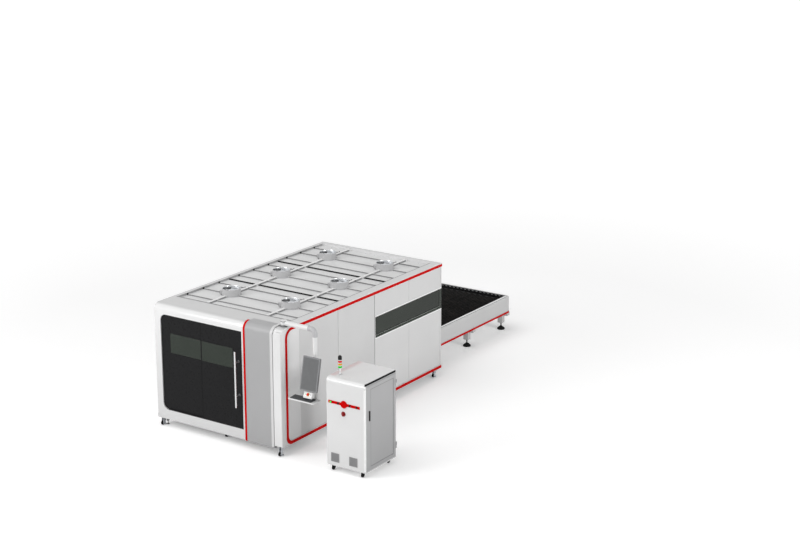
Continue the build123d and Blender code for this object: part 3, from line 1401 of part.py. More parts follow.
def signal_tower():
    """Foot, pole, lenses between rings and a domed cap, turned as one outline."""
    side = area(0, TOWER_RADIUS, 0, TOWER_FOOT) + area(0, TOWER_POLE_RADIUS, TOWER_FOOT, TOWER_POLE)
    level = TOWER_POLE
    for lens in range(TOWER_LENSES):
        side += area(0, TOWER_RADIUS, level, level + TOWER_LENS)
        level += TOWER_LENS
        side += area(0, TOWER_RADIUS - TOWER_RING_INSET, level, level + TOWER_RING)
        level += TOWER_RING
    cap = level + TOWER_CAP
    side += area(0, TOWER_RADIUS, level, cap)
    side += Pos(0, cap) * Circle(TOWER_RADIUS) & area(0, TOWER_RADIUS, cap, cap + TOWER_RADIUS)
    return Pos(CABINET_LEFT + TOWER_X, CABINET_FRONT + TOWER_Y, CABINET_TOP) * turned(side)


def cabinet_casters():
    axle = CART_WHEEL_RADIUS
    frame = caster_frame(
        CABINET_BOTTOM, CART_PLATE, CART_PLATE_WIDTH, CART_TRAIL, CART_WHEEL_WIDTH, axle, CART_CHEEK
    )
    wheel = caster_wheel(CART_TRAIL, CART_WHEEL_RADIUS, CART_WHEEL_WIDTH, axle)
    places = [
        Pos(x, y, 0)
        for x in (CABINET_LEFT + CART_INSET_X, CABINET_RIGHT - CART_INSET_X)
        for y in (CABINET_FRONT + CART_INSET_Y, CABINET_REAR - CART_INSET_Y)
    ]
    return group(*[place * shape for place in places for shape in (frame, wheel)])


def laser_source():
    x0 = CABINET_LEFT + CABINET_WALL + SOURCE_GAP
    x1 = DOOR_BACK - CABINET_WALL - SOURCE_GAP
    y0 = CABINET_FRONT + CABINET_WALL + SOURCE_GAP
    y1 = CABINET_REAR - CABINET_WALL - SOURCE_GAP
    source = block(x0, x1, y0, y1, DOOR_Z0, DOOR_Z0 + SOURCE_HEIGHT)
    source = fillet(source.edges().filter_by(Axis.Z), SOURCE_EDGE)
    inset = SOURCE_VENT_INSET
    step = (SOURCE_HEIGHT - 2 * inset) / SOURCE_VENTS
    for vent in range(SOURCE_VENTS):
        low = DOOR_Z0 + inset + vent * step
        source -= block(x1 - SOURCE_VENT, x1, y0 + inset, y1 - inset, low, low + step * SOURCE_VENT_SHARE)
    return source


PIECES = {
    "base_frame": base_frame,
    "front_hood": front_hood,
    "column_cover": column_cover,
    "corner_pillar": corner_pillar,
    "red_stripes": red_stripes,
    "right_front_panels": right_front_panels,
    "right_rear_panels": right_rear_panels,
    "left_panels": left_panels,
    "side_windows": side_windows,
    "rear_cover": rear_cover,
    "portal_frames": portal_frames,
    "roof_rim": roof_rim,
    "roof_panels": roof_panels,
    "fan_housings": fan_housings,
    "levelling_casters": levelling_casters,
    "caster_wheels": caster_wheels,
    "door_tracks": door_tracks,
    "fixed_leaf": fixed_leaf,
    "fixed_window": fixed_window,
    "sliding_leaf": sliding_leaf,
    "sliding_window": sliding_window,
    "door_handle": door_handle,
    "machine_bed": machine_bed,
    "bed_rails": bed_rails,
    "gantry": gantry,
    "carriage": carriage,
    "cutting_head": cutting_head,
    "slag_trays": slag_trays,
    "table_frame": table_frame,
    "table_feet": table_feet,
    "exchange_drive": exchange_drive,
    "upper_pallet": upper_pallet,
    "upper_slats": upper_slats,
    "lower_pallet": lower_pallet,
    "lower_slats": lower_slats,
    "arm_base": arm_base,
    "console_arm": console_arm,
    "monitor": monitor,
    "monitor_screen": monitor_screen,
    "button_box": button_box,
    "stop_button": stop_button,
    "keyboard_tray": keyboard_tray,
    "keyboard": keyboard,
    "cabinet_shell": cabinet_shell,
    "cabinet_door": cabinet_door,
    "cabinet_latch": cabinet_latch,
    "cabinet_fascia": cabinet_fascia,
    "main_switch": main_switch,
    "power_lamp": power_lamp,
    "push_buttons": push_buttons,
    "cabinet_grilles": cabinet_grilles,
    "signal_tower": signal_tower,
    "cabinet_casters": cabinet_casters,
    "laser_source": laser_source,
}


def save(name, shape):
    """Move every solid of a piece to the finished part's frame and write it."""
    shift = Pos(-ORIGIN_X, -ORIGIN_Y, 0)
    export_step(group(*[shift * solid for solid in shape.solids()]), f"parts/{name}.step")


def main():
    os.makedirs("parts", exist_ok=True)
    for name, make in PIECES.items():
        save(name, make())
    impeller = fan_impeller()
    for number, (x, y) in enumerate(fan_places(), 1):
        save(f"fan_impeller_{number}", Pos(x, y, 0) * impeller)


if __name__ == "__main__":
    main()
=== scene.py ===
# %% [markdown]
# # A laser cutting machine, dressed in Blender
#
# The machine's solids come from the CAD model in metres: a white enclosure with a dark sliding door, a
# table that swaps two pallets behind it, an operator's console on a swinging arm and a control cabinet
# beside it. Here they get their finishes, their small parts, the light and the camera. Every new piece is
# put where the CAD says and rides on the body that carries it, so that it moves when the door slides or the
# cabinet opens.

# %% Setup
import math

import bmesh
import bpy
from mathutils import Matrix, Vector


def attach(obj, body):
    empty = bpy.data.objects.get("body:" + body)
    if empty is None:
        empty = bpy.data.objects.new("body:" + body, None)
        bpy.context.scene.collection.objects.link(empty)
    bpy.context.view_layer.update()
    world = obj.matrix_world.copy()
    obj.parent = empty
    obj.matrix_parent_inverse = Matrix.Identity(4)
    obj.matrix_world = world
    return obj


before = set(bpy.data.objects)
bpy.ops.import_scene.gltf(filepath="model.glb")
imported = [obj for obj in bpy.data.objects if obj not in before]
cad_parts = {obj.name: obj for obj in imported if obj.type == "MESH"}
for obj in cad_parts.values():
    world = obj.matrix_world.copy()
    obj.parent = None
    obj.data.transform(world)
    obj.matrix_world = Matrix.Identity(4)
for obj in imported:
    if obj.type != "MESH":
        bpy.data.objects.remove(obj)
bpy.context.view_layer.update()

# %% [markdown]
# ## Camera, floor and light
#
# The picture was taken from the front right with a long lens, a little above the roof. The camera's place
# and lens were worked out from the machine's own straight edges, so one frame serves CAD, physics and
# picture. The floor is one large pale sheet, and the light is what a studio has: a very soft main light
# high behind the camera's left shoulder, a weaker lamp in front, another on the right and a pale
# surrounding.

# %% Camera
LENS = 76.03
PITCH = 15.94
AZIMUTH = 33.97
EYE = (17.602, -25.799, 11.315)
SENSOR_WIDTH = 36.0
FARTHEST = 500.0

camera_data = bpy.data.cameras.new("camera")
camera_data.sensor_fit = "HORIZONTAL"
camera_data.sensor_width = SENSOR_WIDTH
camera_data.lens = LENS
camera_data.clip_end = FARTHEST
camera = bpy.data.objects.new("camera", camera_data)
camera.location = EYE
camera.rotation_euler = (math.radians(90 - PITCH), 0, math.radians(AZIMUTH))
bpy.context.scene.collection.objects.link(camera)
bpy.context.scene.camera = camera
print("camera", LENS, "mm")

# %% World
scene = bpy.context.scene
scene.view_settings.view_transform = "Standard"
world = bpy.data.worlds.new("studio")
world.use_nodes = True
scene.world = world


def sees_backdrop(nodes, links):
    """1 where a ray from the camera, or off or through something shiny, meets the backdrop."""
    path = nodes.new("ShaderNodeLightPath")
    seen = path.outputs["Is Camera Ray"]
    for kind in ("Is Glossy Ray", "Is Transmission Ray"):
        either = nodes.new("ShaderNodeMath")
        either.operation = "MAXIMUM"
        links.new(seen, either.inputs[0])
        links.new(path.outputs[kind], either.inputs[1])
        seen = either.outputs[0]
    return seen


AMBIENT = 0.36
WHITE = (1.0, 1.0, 1.0, 1.0)
nodes, links = world.node_tree.nodes, world.node_tree.links
light_sky = nodes["Background"]
light_sky.inputs["Color"].default_value = WHITE
light_sky.inputs["Strength"].default_value = AMBIENT
seen_sky = nodes.new("ShaderNodeBackground")
seen_sky.inputs["Color"].default_value = WHITE
seen_sky.inputs["Strength"].default_value = 1.0
choose = nodes.new("ShaderNodeMixShader")
links.new(sees_backdrop(nodes, links), choose.inputs["Fac"])
links.new(light_sky.outputs[0], choose.inputs[1])
links.new(seen_sky.outputs[0], choose.inputs[2])
links.new(choose.outputs[0], nodes["World Output"].inputs["Surface"])
print("world", AMBIENT)

# %% Lamps
AIM = Vector((-0.6, -1.2, 1.0))


def soft_lamp(name, place, size, power):
    """Square studio lamp that looks at the machine."""
    data = bpy.data.lights.new(name, "AREA")
    data.shape = "SQUARE"
    data.size = size
    data.energy = power
    lamp = bpy.data.objects.new(name, data)
    lamp.location = place
    lamp.rotation_euler = (AIM - Vector(place)).to_track_quat("-Z", "Y").to_euler()
    scene.collection.objects.link(lamp)
    print(name, size, "m,", power, "W")


soft_lamp("front_lamp", (-9.0, -19.0, 9.0), 9.0, 1350.0)
soft_lamp("right_lamp", (19.0, -2.5, 6.0), 6.0, 1150.0)

SUN_STRENGTH = 0.95
SUN_SPREAD = math.radians(50)
SUN_LEAN = (math.radians(22), math.radians(-14), 0)
sun_data = bpy.data.lights.new("high_light", "SUN")
sun_data.energy = SUN_STRENGTH
sun_data.angle = SUN_SPREAD
sun = bpy.data.objects.new("high_light", sun_data)
sun.rotation_euler = SUN_LEAN
scene.collection.objects.link(sun)
print("high_light", SUN_STRENGTH)

# %% Floor
FLOOR_REACH = 130.0
FLOOR_DROP = 0.001
floor_mesh = bmesh.new()
bmesh.ops.create_grid(floor_mesh, x_segments=1, y_segments=1, size=FLOOR_REACH)
floor_data = bpy.data.meshes.new("floor")
floor_mesh.to_mesh(floor_data)
floor_mesh.free()
floor = bpy.data.objects.new("floor", floor_data)
floor.location.z = -FLOOR_DROP
scene.collection.objects.link(floor)
print("floor", 2 * FLOOR_REACH, "m")

# %% [markdown]
# ## Finishes
#
# Almost all of the machine is sheet steel with powder coat: even in colour, with a fine orange-peel skin, a
# roughness that drifts a little over each sheet and a darkening towards the floor, which is a trace of dust
# on most sheets and painted shade on a few; the level sheets carry painted shade as well. The pattern could
# be painted on an unwrapped map, but nothing here is unwrapped, so noise on Object coordinates does it, at
# real sizes in metres. The same few node steps make the other finishes: brushed and zinc-plated steel,
# scorched slats, rubber, tinted safety glass and moulded plastic.


# %% Finish helpers
def tone(code):
    """A web colour as the linear values that Blender mixes."""
    parts = [int(code[i:i + 2], 16) / 255 for i in (1, 3, 5)]
    linear = [p / 12.92 if p <= 0.04045 else ((p + 0.055) / 1.055) ** 2.4 for p in parts]
    return (*linear, 1.0)


class Finish:
    """A material under construction: its nodes, its shader and Object coordinates to hang patterns on."""

    def __init__(self, name, metallic=0.0, specular=0.5):
        self.material = bpy.data.materials.new(name)
        self.material.use_nodes = True
        self.nodes = self.material.node_tree.nodes
        self.links = self.material.node_tree.links
        self.shader = self.nodes["Principled BSDF"]
        self.set("Metallic", metallic)
        self.set("Specular IOR Level", specular)
        self.where = self.nodes.new("ShaderNodeTexCoord").outputs["Object"]

    def set(self, socket, value):
        self.shader.inputs[socket].default_value = value

    def join(self, output, socket):
        self.links.new(output, self.shader.inputs[socket])

    def noise(self, scale, detail=3.0, stretch=None):
        """Soft random pattern with so many waves to the metre."""
        texture = self.nodes.new("ShaderNodeTexNoise")
        texture.inputs["Scale"].default_value = scale
        texture.inputs["Detail"].default_value = detail
        where = self.where
        if stretch:
            mapping = self.nodes.new("ShaderNodeMapping")
            mapping.inputs["Scale"].default_value = stretch
            self.links.new(where, mapping.inputs["Vector"])
            where = mapping.outputs["Vector"]
        self.links.new(where, texture.inputs["Vector"])
        return texture.outputs["Fac"]

    def along(self, vector, axis, low, high):
        """0 at one place along an axis and 1 at another."""
        split = self.nodes.new("ShaderNodeSeparateXYZ")
        self.links.new(vector, split.inputs[0])
        return self.ranged(split.outputs[axis], low, high)

    def height(self, low, high):
        """0 at one height above the floor and 1 at another."""
        return self.along(self.where, "Z", low, high)

    def level(self, low, high):
        """0 on upright faces and 1 on level ones, where painted shade goes."""
        return self.along(self.nodes.new("ShaderNodeNewGeometry").outputs["Normal"], "Z", low, high)

    def ranged(self, value, low, high, to_low=0.0, to_high=1.0):
        """A value stretched from one range to another."""
        node = self.nodes.new("ShaderNodeMapRange")
        for number, limit in enumerate((low, high, to_low, to_high), 1):
            node.inputs[number].default_value = limit
        self.links.new(value, node.inputs["Value"])
        return node.outputs["Result"]

    def ramp(self, value, *stops):
        """Colours along a value, each stop a place and a colour."""
        node = self.nodes.new("ShaderNodeValToRGB")
        ends = node.color_ramp.elements
        while len(ends) < len(stops):
            ends.new(0.5)
        for end, (place, colour) in zip(ends, stops):
            end.position = place
            end.color = colour
        self.links.new(value, node.inputs["Fac"])
        return node.outputs["Color"]

    def mixed(self, value, first, second):
        """Blend of two colour outputs."""
        node = self.nodes.new("ShaderNodeMix")
        node.data_type = "RGBA"
        self.links.new(value, node.inputs["Factor"])
        self.links.new(first, node.inputs["A"])
        self.links.new(second, node.inputs["B"])
        return node.outputs["Result"]

    def rough(self, value, low, high):
        """Roughness that drifts with a pattern."""
        self.join(self.ranged(value, 0.2, 0.8, low, high), "Roughness")

    def bump(self, value, strength, depth):
        """Relief so many metres deep."""
        node = self.nodes.new("ShaderNodeBump")
        node.inputs["Strength"].default_value = strength
        node.inputs["Distance"].default_value = depth
        self.links.new(value, node.inputs["Height"])
        self.join(node.outputs["Normal"], "Normal")


def shades(code, spread):
    """A colour a little darker and a little lighter than the given one."""
    base = tone(code)
    return [tuple(min(1.0, c * k) for c in base[:3]) + (1.0,) for k in (1 - spread, 1 + spread)]


def darker(code, share):
    """A colour with a share of its light taken away."""
    return shades(code, share)[0]


print("finish helpers ready")


# %% Powder coat
CLOUDS = (0.15, 0.85)
DUST_AND_SHADE_FROM = 0.18
LEVEL = (0.8, 1.0)
PEEL, PEEL_DEPTH = 420.0, 0.0006


def powder_coat(name, code, low=0.34, high=0.5, spread=0.04, dust_and_shade=0.06, gloss=0.0, specular=0.5,
                top_shade=0.0, dust_and_shade_top=0.75):
    """Sprayed and baked paint, darker towards the floor (a trace of dust, or painted shade on some sheets)
    and with painted shade on level sheets.
    """
    coat = Finish(name, 0.0, specular)
    coat.set("Coat Weight", gloss)
    coat.set("Coat Roughness", 0.03)
    dark, light = shades(code, spread)
    drift = coat.noise(1.3, 4.0)
    clean = coat.ramp(drift, *zip(CLOUDS, (dark, light)))
    # Darker tones towards the floor: a trace of dust on most sheets, painted shade on the hood and the front
    # panels.
    dust_and_shade_tones = darker(code, 1.4 * dust_and_shade), darker(code, 1.1 * dust_and_shade)
    dust_and_shade_colour = coat.ramp(coat.noise(2.5, 3.0), *zip(CLOUDS, dust_and_shade_tones))
    colour = coat.mixed(coat.height(DUST_AND_SHADE_FROM, dust_and_shade_top), dust_and_shade_colour, clean)
    # Painted shade on level faces: tops are drawn darker than the upright sheets.
    if top_shade:
        top_shade_colour = coat.ramp(drift, *zip(CLOUDS, (darker(code, top_shade + 0.03), darker(code, top_shade))))
        colour = coat.mixed(coat.level(*LEVEL), colour, top_shade_colour)
    coat.join(colour, "Base Color")
    coat.rough(coat.noise(4.0, 3.0), low, high)
    coat.bump(coat.noise(PEEL, 2.0), 0.08, PEEL_DEPTH)
    return coat.material


# Painted shade on the level faces of the white sheets.
white_paint = powder_coat("white_paint", "#e6e6e6", 0.28, 0.42, top_shade=0.12)
# Hood: painted shade on its level top, and painted shade that deepens from the top of the hood towards its
# foot.
hood_paint = powder_coat("hood_paint", "#e5e5e5", 0.28, 0.4, dust_and_shade=0.14, gloss=0.7, top_shade=0.28, dust_and_shade_top=2.2)
panel_paint = powder_coat("panel_paint", "#dadada")
# Front side panels: painted shade, darker towards the floor, where the cabinet stands in the light.
front_panel_paint = powder_coat("front_panel_paint", "#d6d6d6", dust_and_shade=0.17, dust_and_shade_top=1.6)
roof_paint = powder_coat("roof_paint", "#e6e6e6", 0.4, 0.55)
grey_paint = powder_coat("grey_paint", "#a9a9aa", 0.32, 0.45)
edge_paint = powder_coat("edge_paint", "#d6d6d6", 0.3, 0.42)
hub_paint = powder_coat("hub_paint", "#5e5e60", 0.35, 0.5)
# Painted shade on the cabinet's level faces.
cabinet_paint = powder_coat("cabinet_paint", "#e0e0e0", 0.26, 0.4, gloss=0.9, top_shade=0.08)
# Cabinet door grey: darker towards the bottom.
cabinet_grey = powder_coat("cabinet_grey", "#a8a8a9", 0.36, 0.5, dust_and_shade=0.09, dust_and_shade_top=1.4)
grille_grey = powder_coat("grille_grey", "#8c8c8d", 0.4, 0.55)
trim_grey = powder_coat("trim_grey", "#8a8a8b", 0.5, 0.65)
red_paint = powder_coat("red_paint", "#cd0202", 0.25, 0.36, 0.05, 0.08, specular=0.03)
fan_grey = powder_coat("fan_grey", "#c0c0c1", 0.35, 0.5)
tube_paint = powder_coat("tube_paint", "#e8e8e8", 0.3, 0.42)
elbow_paint = powder_coat("elbow_paint", "#bcbcbe", 0.3, 0.45)
# Highlight paint: brighter than the white sheet, a painted highlight on edges and tops that catch the light.
highlight_paint = powder_coat("highlight_paint", "#f8f8f8", 0.25, 0.35)
table_paint = powder_coat("table_paint", "#d0d0d0", 0.34, 0.48)
print("finishes so far", len(bpy.data.materials))


# %% Steel
UPRIGHT_GRAIN = (30.0, 30.0, 0.6)
CROSS_GRAIN = (0.6, 30.0, 30.0)
NO_GRAIN = (1.0, 1.0, 1.0)


def steel(name, code, grain, low, high, spread=0.12):
    """Bare metal with a grain: the stretch makes the brush lines run along one axis."""
    metal = Finish(name, 1.0)
    dark, light = shades(code, spread)
    lines = metal.noise(60.0, 4.0, grain)
    metal.join(metal.ramp(lines, (0.3, dark), (0.7, light)), "Base Color")
    metal.rough(metal.noise(90.0, 3.0, grain), low, high)
    metal.bump(lines, 0.06, 0.0004)
    return metal.material


bright_steel = steel("bright_steel", "#d9dadb", UPRIGHT_GRAIN, 0.2, 0.34)
zinc_steel = steel("zinc_steel", "#b9bcc0", NO_GRAIN, 0.32, 0.5, 0.16)
alloy = steel("alloy", "#c9cbce", CROSS_GRAIN, 0.3, 0.44, 0.06)


def scorched_steel():
    """Slats that every cut has splashed: dark scale, with bare and rusty patches."""
    metal = Finish("scorched_steel", 0.55)
    patches = metal.noise(7.0, 6.0)
    metal.join(metal.ramp(patches, (0.3, tone("#141414")), (0.52, tone("#1f1e1d")), (0.72, tone("#2d2926"))),
               "Base Color")
    metal.rough(metal.noise(22.0, 4.0), 0.5, 0.8)
    metal.bump(metal.noise(160.0, 4.0), 0.3, 0.001)
    return metal.material


def casting(name, code):
    """Painted iron: rougher than sheet, with a pebbled skin."""
    iron = Finish(name)
    dark, light = shades(code, 0.08)
    iron.join(iron.ramp(iron.noise(3.0, 5.0), (0.35, dark), (0.65, light)), "Base Color")
    iron.rough(iron.noise(12.0, 3.0), 0.5, 0.7)
    iron.bump(iron.noise(140.0, 4.0), 0.25, 0.0012)
    return iron.material


slat_steel = scorched_steel()
bed_iron = casting("bed_iron", "#7d8083")
pallet_iron = casting("pallet_iron", "#2c2d2e")
print("finishes so far", len(bpy.data.materials))


# %% Plastics and rubber
def moulded(name, code, low, high, spread=0.06, grain=700.0, depth=0.0004, specular=0.5):
    """Moulded plastic or rubber with a fine grain."""
    plastic = Finish(name, 0.0, specular)
    dark, light = shades(code, spread)
    plastic.join(plastic.ramp(plastic.noise(14.0, 4.0), (0.35, dark), (0.65, light)), "Base Color")
    plastic.rough(plastic.noise(30.0, 3.0), low, high)
    plastic.bump(plastic.noise(grain, 2.0), 0.12, depth)
    return plastic.material


door_sheet = moulded("door_sheet", "#1f1f20", 0.24, 0.34, 0.05, 300.0, 0.00004, 0.07)
edge_metal = moulded("edge_metal", "#171718", 0.4, 0.55, specular=0.06)
monitor_case = moulded("monitor_case", "#7f8082", 0.4, 0.55)
black_plastic = moulded("black_plastic", "#171718", 0.42, 0.58, specular=0.2)
rubber = moulded("rubber", "#151516", 0.65, 0.85, 0.1, 500.0, 0.0006, 0.15)
key_plastic = moulded("key_plastic", "#4a4b4d", 0.45, 0.6)
stop_plastic = moulded("stop_plastic", "#e00a0a", 0.28, 0.4, specular=0.15)
yellow_plastic = moulded("yellow_plastic", "#e5b91e", 0.35, 0.5)
tower_plastic = moulded("tower_plastic", "#d2d2d2", 0.35, 0.5)
screen_glass = moulded("screen_glass", "#6f7071", 0.14, 0.22, 0.03, 200.0, 0.0001, 0.2)
switch_plastic = moulded("switch_plastic", "#8e1313", 0.3, 0.42)
window_cover = moulded("window_cover", "#3a413a", 0.06, 0.12, 0.06, 200.0, 0.0001, 0.12)
print("finishes so far", len(bpy.data.materials))

# %% Glass and lenses
GLASS_RUN = (-1.3, 0.9)


def safety_glass():
    """Laser safety glass: dark green, glossy, a little clear, and darker where less light is behind it."""
    glass = Finish("safety_glass", 0.0, 0.12)
    front = glass.ramp(glass.noise(2.0, 2.0), (0.3, tone("#2e372e")), (0.7, tone("#333c33")))
    rear = glass.ramp(glass.noise(2.0, 2.0), (0.3, tone("#1f271f")), (0.7, tone("#252d25")))
    glass.join(glass.mixed(glass.along(glass.where, "Y", *GLASS_RUN), front, rear), "Base Color")
    glass.rough(glass.noise(5.0, 2.0), 0.04, 0.09)
    glass.set("Transmission Weight", 0.35)
    glass.set("IOR", 1.5)
    return glass.material


def lens(name, code, glow):
    """Coloured lamp lens: half clear, with a little light of its own."""
    shell = Finish(name, 0.0, 0.2)
    dark, light = shades(code, 0.1)
    shell.join(shell.ramp(shell.noise(40.0, 2.0), (0.3, dark), (0.7, light)), "Base Color")
    shell.rough(shell.noise(60.0, 2.0), 0.14, 0.26)
    shell.set("Emission Color", tone(code))
    shell.set("Emission Strength", glow)
    return shell.material


tinted_glass = safety_glass()
green_lens = lens("green_lens", "#00b41c", 0.35)
amber_lens = lens("amber_lens", "#d09600", 0.25)
red_lens = lens("red_lens", "#c4000a", 0.25)
power_lens = lens("power_lens", "#1fd653", 0.6)
print("finishes so far", len(bpy.data.materials))

# %% [markdown]
# The floor has to be white far away and still keep the machine's shadow. A pale matt sheet alone renders
# grey, so a little light of its own is added, which only the camera and shiny surfaces see and which grows
# away from the machine. It lights nothing, so the colours on the machine stay as they are written.

# %% Floor finish
FLOOR_WHITE = (0.97, 0.97, 0.97, 1.0)
GLOW_NEAR, GLOW_FAR = 0.23, 0.5
SHADOW_REACH, WHITE_FROM = 9.0, 24.0
sheet = Finish("pale_floor", specular=0.1)
sheet.set("Base Color", FLOOR_WHITE)
sheet.set("Roughness", 0.85)
nodes, links = sheet.nodes, sheet.links
away = nodes.new("ShaderNodeVectorMath")
away.operation = "LENGTH"
links.new(sheet.where, away.inputs[0])
spread = sheet.ranged(away.outputs["Value"], SHADOW_REACH, WHITE_FROM, GLOW_NEAR, GLOW_FAR)
shown = nodes.new("ShaderNodeMath")
shown.operation = "MULTIPLY"
links.new(sees_backdrop(nodes, links), shown.inputs[0])
links.new(spread, shown.inputs[1])
glow = nodes.new("ShaderNodeEmission")
links.new(shown.outputs[0], glow.inputs["Strength"])
both = nodes.new("ShaderNodeAddShader")
links.new(sheet.shader.outputs[0], both.inputs[0])
links.new(glow.outputs[0], both.inputs[1])
links.new(both.outputs[0], nodes["Material Output"].inputs["Surface"])
floor_data.materials.append(sheet.material)
print("floor glow", GLOW_NEAR, "to", GLOW_FAR)

# %% [markdown]
# ## Finishes on the CAD nodes
#
# A CAD node whose shape is right keeps it and only changes its material slot. Sheet metal, glass and
# castings are told apart here by name, so that a new node would show up as missing.

# %% Dress the nodes
DRESS = {
    hood_paint: ["front_hood"],
    white_paint: ["base_frame", "corner_pillar", "portal_frames", "roof_rim", "button_box",
                  "keyboard_tray"],
    front_panel_paint: ["right_front_panels"],
    panel_paint: ["right_rear_panels", "left_panels", "rear_cover", "laser_source"],
    table_paint: ["table_frame"],
    tube_paint: ["console_arm"],
    fan_grey: ["fan_housings"],
    monitor_case: ["monitor"],
    switch_plastic: ["main_switch"],
    roof_paint: ["roof_panels"],
    grey_paint: ["column_cover"],
    red_paint: ["red_stripes", "cabinet_fascia"],
    cabinet_paint: ["cabinet_shell"],
    cabinet_grey: ["cabinet_door"],
    grille_grey: ["cabinet_grilles"],
    tinted_glass: ["side_windows", "fixed_window", "sliding_window"],
    door_sheet: ["fixed_leaf", "sliding_leaf"],
    black_plastic: ["door_tracks", "exchange_drive", "cabinet_latch", "push_buttons"],
    bright_steel: ["door_handle", "bed_rails"],
    zinc_steel: ["levelling_casters", "slag_trays"],
    hub_paint: ["arm_base"],
    alloy: ["gantry", "carriage", "cutting_head"] + [f"fan_impeller_{n}" for n in range(1, 7)],
    bed_iron: ["machine_bed"],
    pallet_iron: ["upper_pallet", "lower_pallet"],
    slat_steel: ["upper_slats", "lower_slats"],
    rubber: ["caster_wheels", "table_feet", "cabinet_casters"],
    screen_glass: ["monitor_screen"],
    key_plastic: ["keyboard"],
    stop_plastic: ["stop_button"],
    power_lens: ["power_lamp"],
    tower_plastic: ["signal_tower"],
}
dressed = set()
for material, names in DRESS.items():
    for name in names:
        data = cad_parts[name].data
        data.materials.clear()
        data.materials.append(material)
        dressed.add(name)
print("nodes without a finish:", sorted(set(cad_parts) - dressed))

# %% [markdown]
# ## Tools for the small parts
#
# The CAD keeps its sizes in millimetres from the middle of the front face at floor level, so the small
# parts are placed in the same way. A few shapes make nearly all of them: a box with rounded edges, an
# outline turned like a piece on a lathe, a flat frame, a ring of edges drawn out into a wall, and a stamp
# that copies one small shape to many places. Each could be drawn as a list of points, but the operators
# keep a shape easy to change.

# %% Places and boxes
FRONT_MIDDLE = Vector((-0.871, -4.17775, 0.0))
MM = 0.001


def spot(x, y, z):
    """A place in millimetres from the middle of the front face, in the shared frame."""
    return Vector((x, y, z)) * MM + FRONT_MIDDLE


def soften(mesh, edges, size, segments=2):
    """Round some edges off."""
    bmesh.ops.bevel(mesh, geom=edges, offset=size * MM, segments=segments, profile=0.5, affect="EDGES",
                    material=-1)


def slab(mesh, across, deep, up, edge=0.0, segments=2):
    """Box between two X, two Y and two Z, with rounded edges."""
    verts = bmesh.ops.create_cube(mesh, size=1.0)["verts"]
    first, last = (spot(*corner) for corner in zip(across, deep, up))
    bmesh.ops.scale(mesh, verts=verts, vec=last - first)
    bmesh.ops.translate(mesh, verts=verts, vec=(first + last) / 2)
    if edge:
        soften(mesh, list({e for v in verts for e in v.link_edges}), edge, segments)


print("front middle", [round(v, 4) for v in FRONT_MIDDLE])

# %% Turned shapes, stamps and frames
MERGE_UNDER = 1e-6


def lathe(outline, steps=32):
    """Outline of radius and height points, turned about Z."""
    shape = bmesh.new()
    verts = [shape.verts.new((radius * MM, 0, height * MM)) for radius, height in outline]
    edges = [shape.edges.new(pair) for pair in zip(verts, verts[1:])]
    bmesh.ops.spin(shape, geom=verts + edges, axis=(0, 0, 1), cent=(0, 0, 0), angle=math.tau, steps=steps,
                   use_merge=True)
    bmesh.ops.remove_doubles(shape, verts=shape.verts, dist=MERGE_UNDER)
    bmesh.ops.recalc_face_normals(shape, faces=shape.faces)
    return shape


def add(mesh, shape, move=None):
    """Add a copy of a shape to a mesh, moved by a matrix."""
    data = bpy.data.meshes.new("copy")
    shape.to_mesh(data)
    if move is not None:
        data.transform(move)
    mesh.from_mesh(data)
    bpy.data.meshes.remove(data)


def stamp(mesh, shape, place, axis=(0, 0, 1), turn=0.0):
    """Copy a shape drawn about the origin to a place, with its Z along an axis."""
    lean = Vector((0, 0, 1)).rotation_difference(Vector(axis)).to_matrix().to_4x4()
    add(mesh, shape, Matrix.Translation(spot(*place)) @ lean @ Matrix.Rotation(math.radians(turn), 4, "Z"))


def border(mesh, corner, along, up, width, thick):
    """Flat frame over the rectangle that two edges span from a corner, with its thickness at the back."""
    shape = bmesh.new()
    start, u, v = spot(*corner), Vector(along) * MM, Vector(up) * MM
    face = shape.faces.new([shape.verts.new(p) for p in (start, start + u, start + u + v, start + v)])
    shape.normal_update()
    bmesh.ops.inset_region(shape, faces=[face], thickness=width * MM, use_even_offset=True, use_boundary=True)
    bmesh.ops.delete(shape, geom=[face], context="FACES")
    bmesh.ops.solidify(shape, geom=list(shape.faces), thickness=thick * MM)
    add(mesh, shape)
    shape.free()


print("turned shapes, stamps and frames ready")


# %% Walls from rings
def draw_out(mesh, edges, way):
    """Pull a ring of edges along a way, with a wall behind it, and give the ring at the far end."""
    made = bmesh.ops.extrude_edge_only(mesh, edges=edges)["geom"]
    fresh = {v for v in made if isinstance(v, bmesh.types.BMVert)}
    bmesh.ops.translate(mesh, verts=list(fresh), vec=Vector(way) * MM)
    return [e for e in made if isinstance(e, bmesh.types.BMEdge) and set(e.verts) <= fresh]


def turn_out(mesh, edges, centre, axis, degrees, steps):
    """Turn a ring of edges about an axis, with a wall behind it, and give the ring at the far end."""
    verts = list({v for e in edges for v in e.verts})
    made = bmesh.ops.spin(mesh, geom=verts + edges, cent=spot(*centre), axis=axis, steps=steps,
                          angle=math.radians(degrees))["geom_last"]
    return [e for e in made if isinstance(e, bmesh.types.BMEdge)]


def ring_of(mesh, corners):
    """Closed ring of edges through a few corners, the section of a band."""
    verts = [mesh.verts.new(spot(*corner)) for corner in corners]
    return [mesh.edges.new(pair) for pair in zip(verts, verts[1:] + verts[:1])]


def close_ends(mesh):
    """Fill the open ends of what was drawn out, and point all faces outward."""
    bmesh.ops.holes_fill(mesh, edges=[e for e in mesh.edges if e.is_boundary], sides=0)
    bmesh.ops.recalc_face_normals(mesh, faces=mesh.faces)


print("walls from rings ready")

# %% Pieces
SMOOTH_UNDER = math.radians(35)


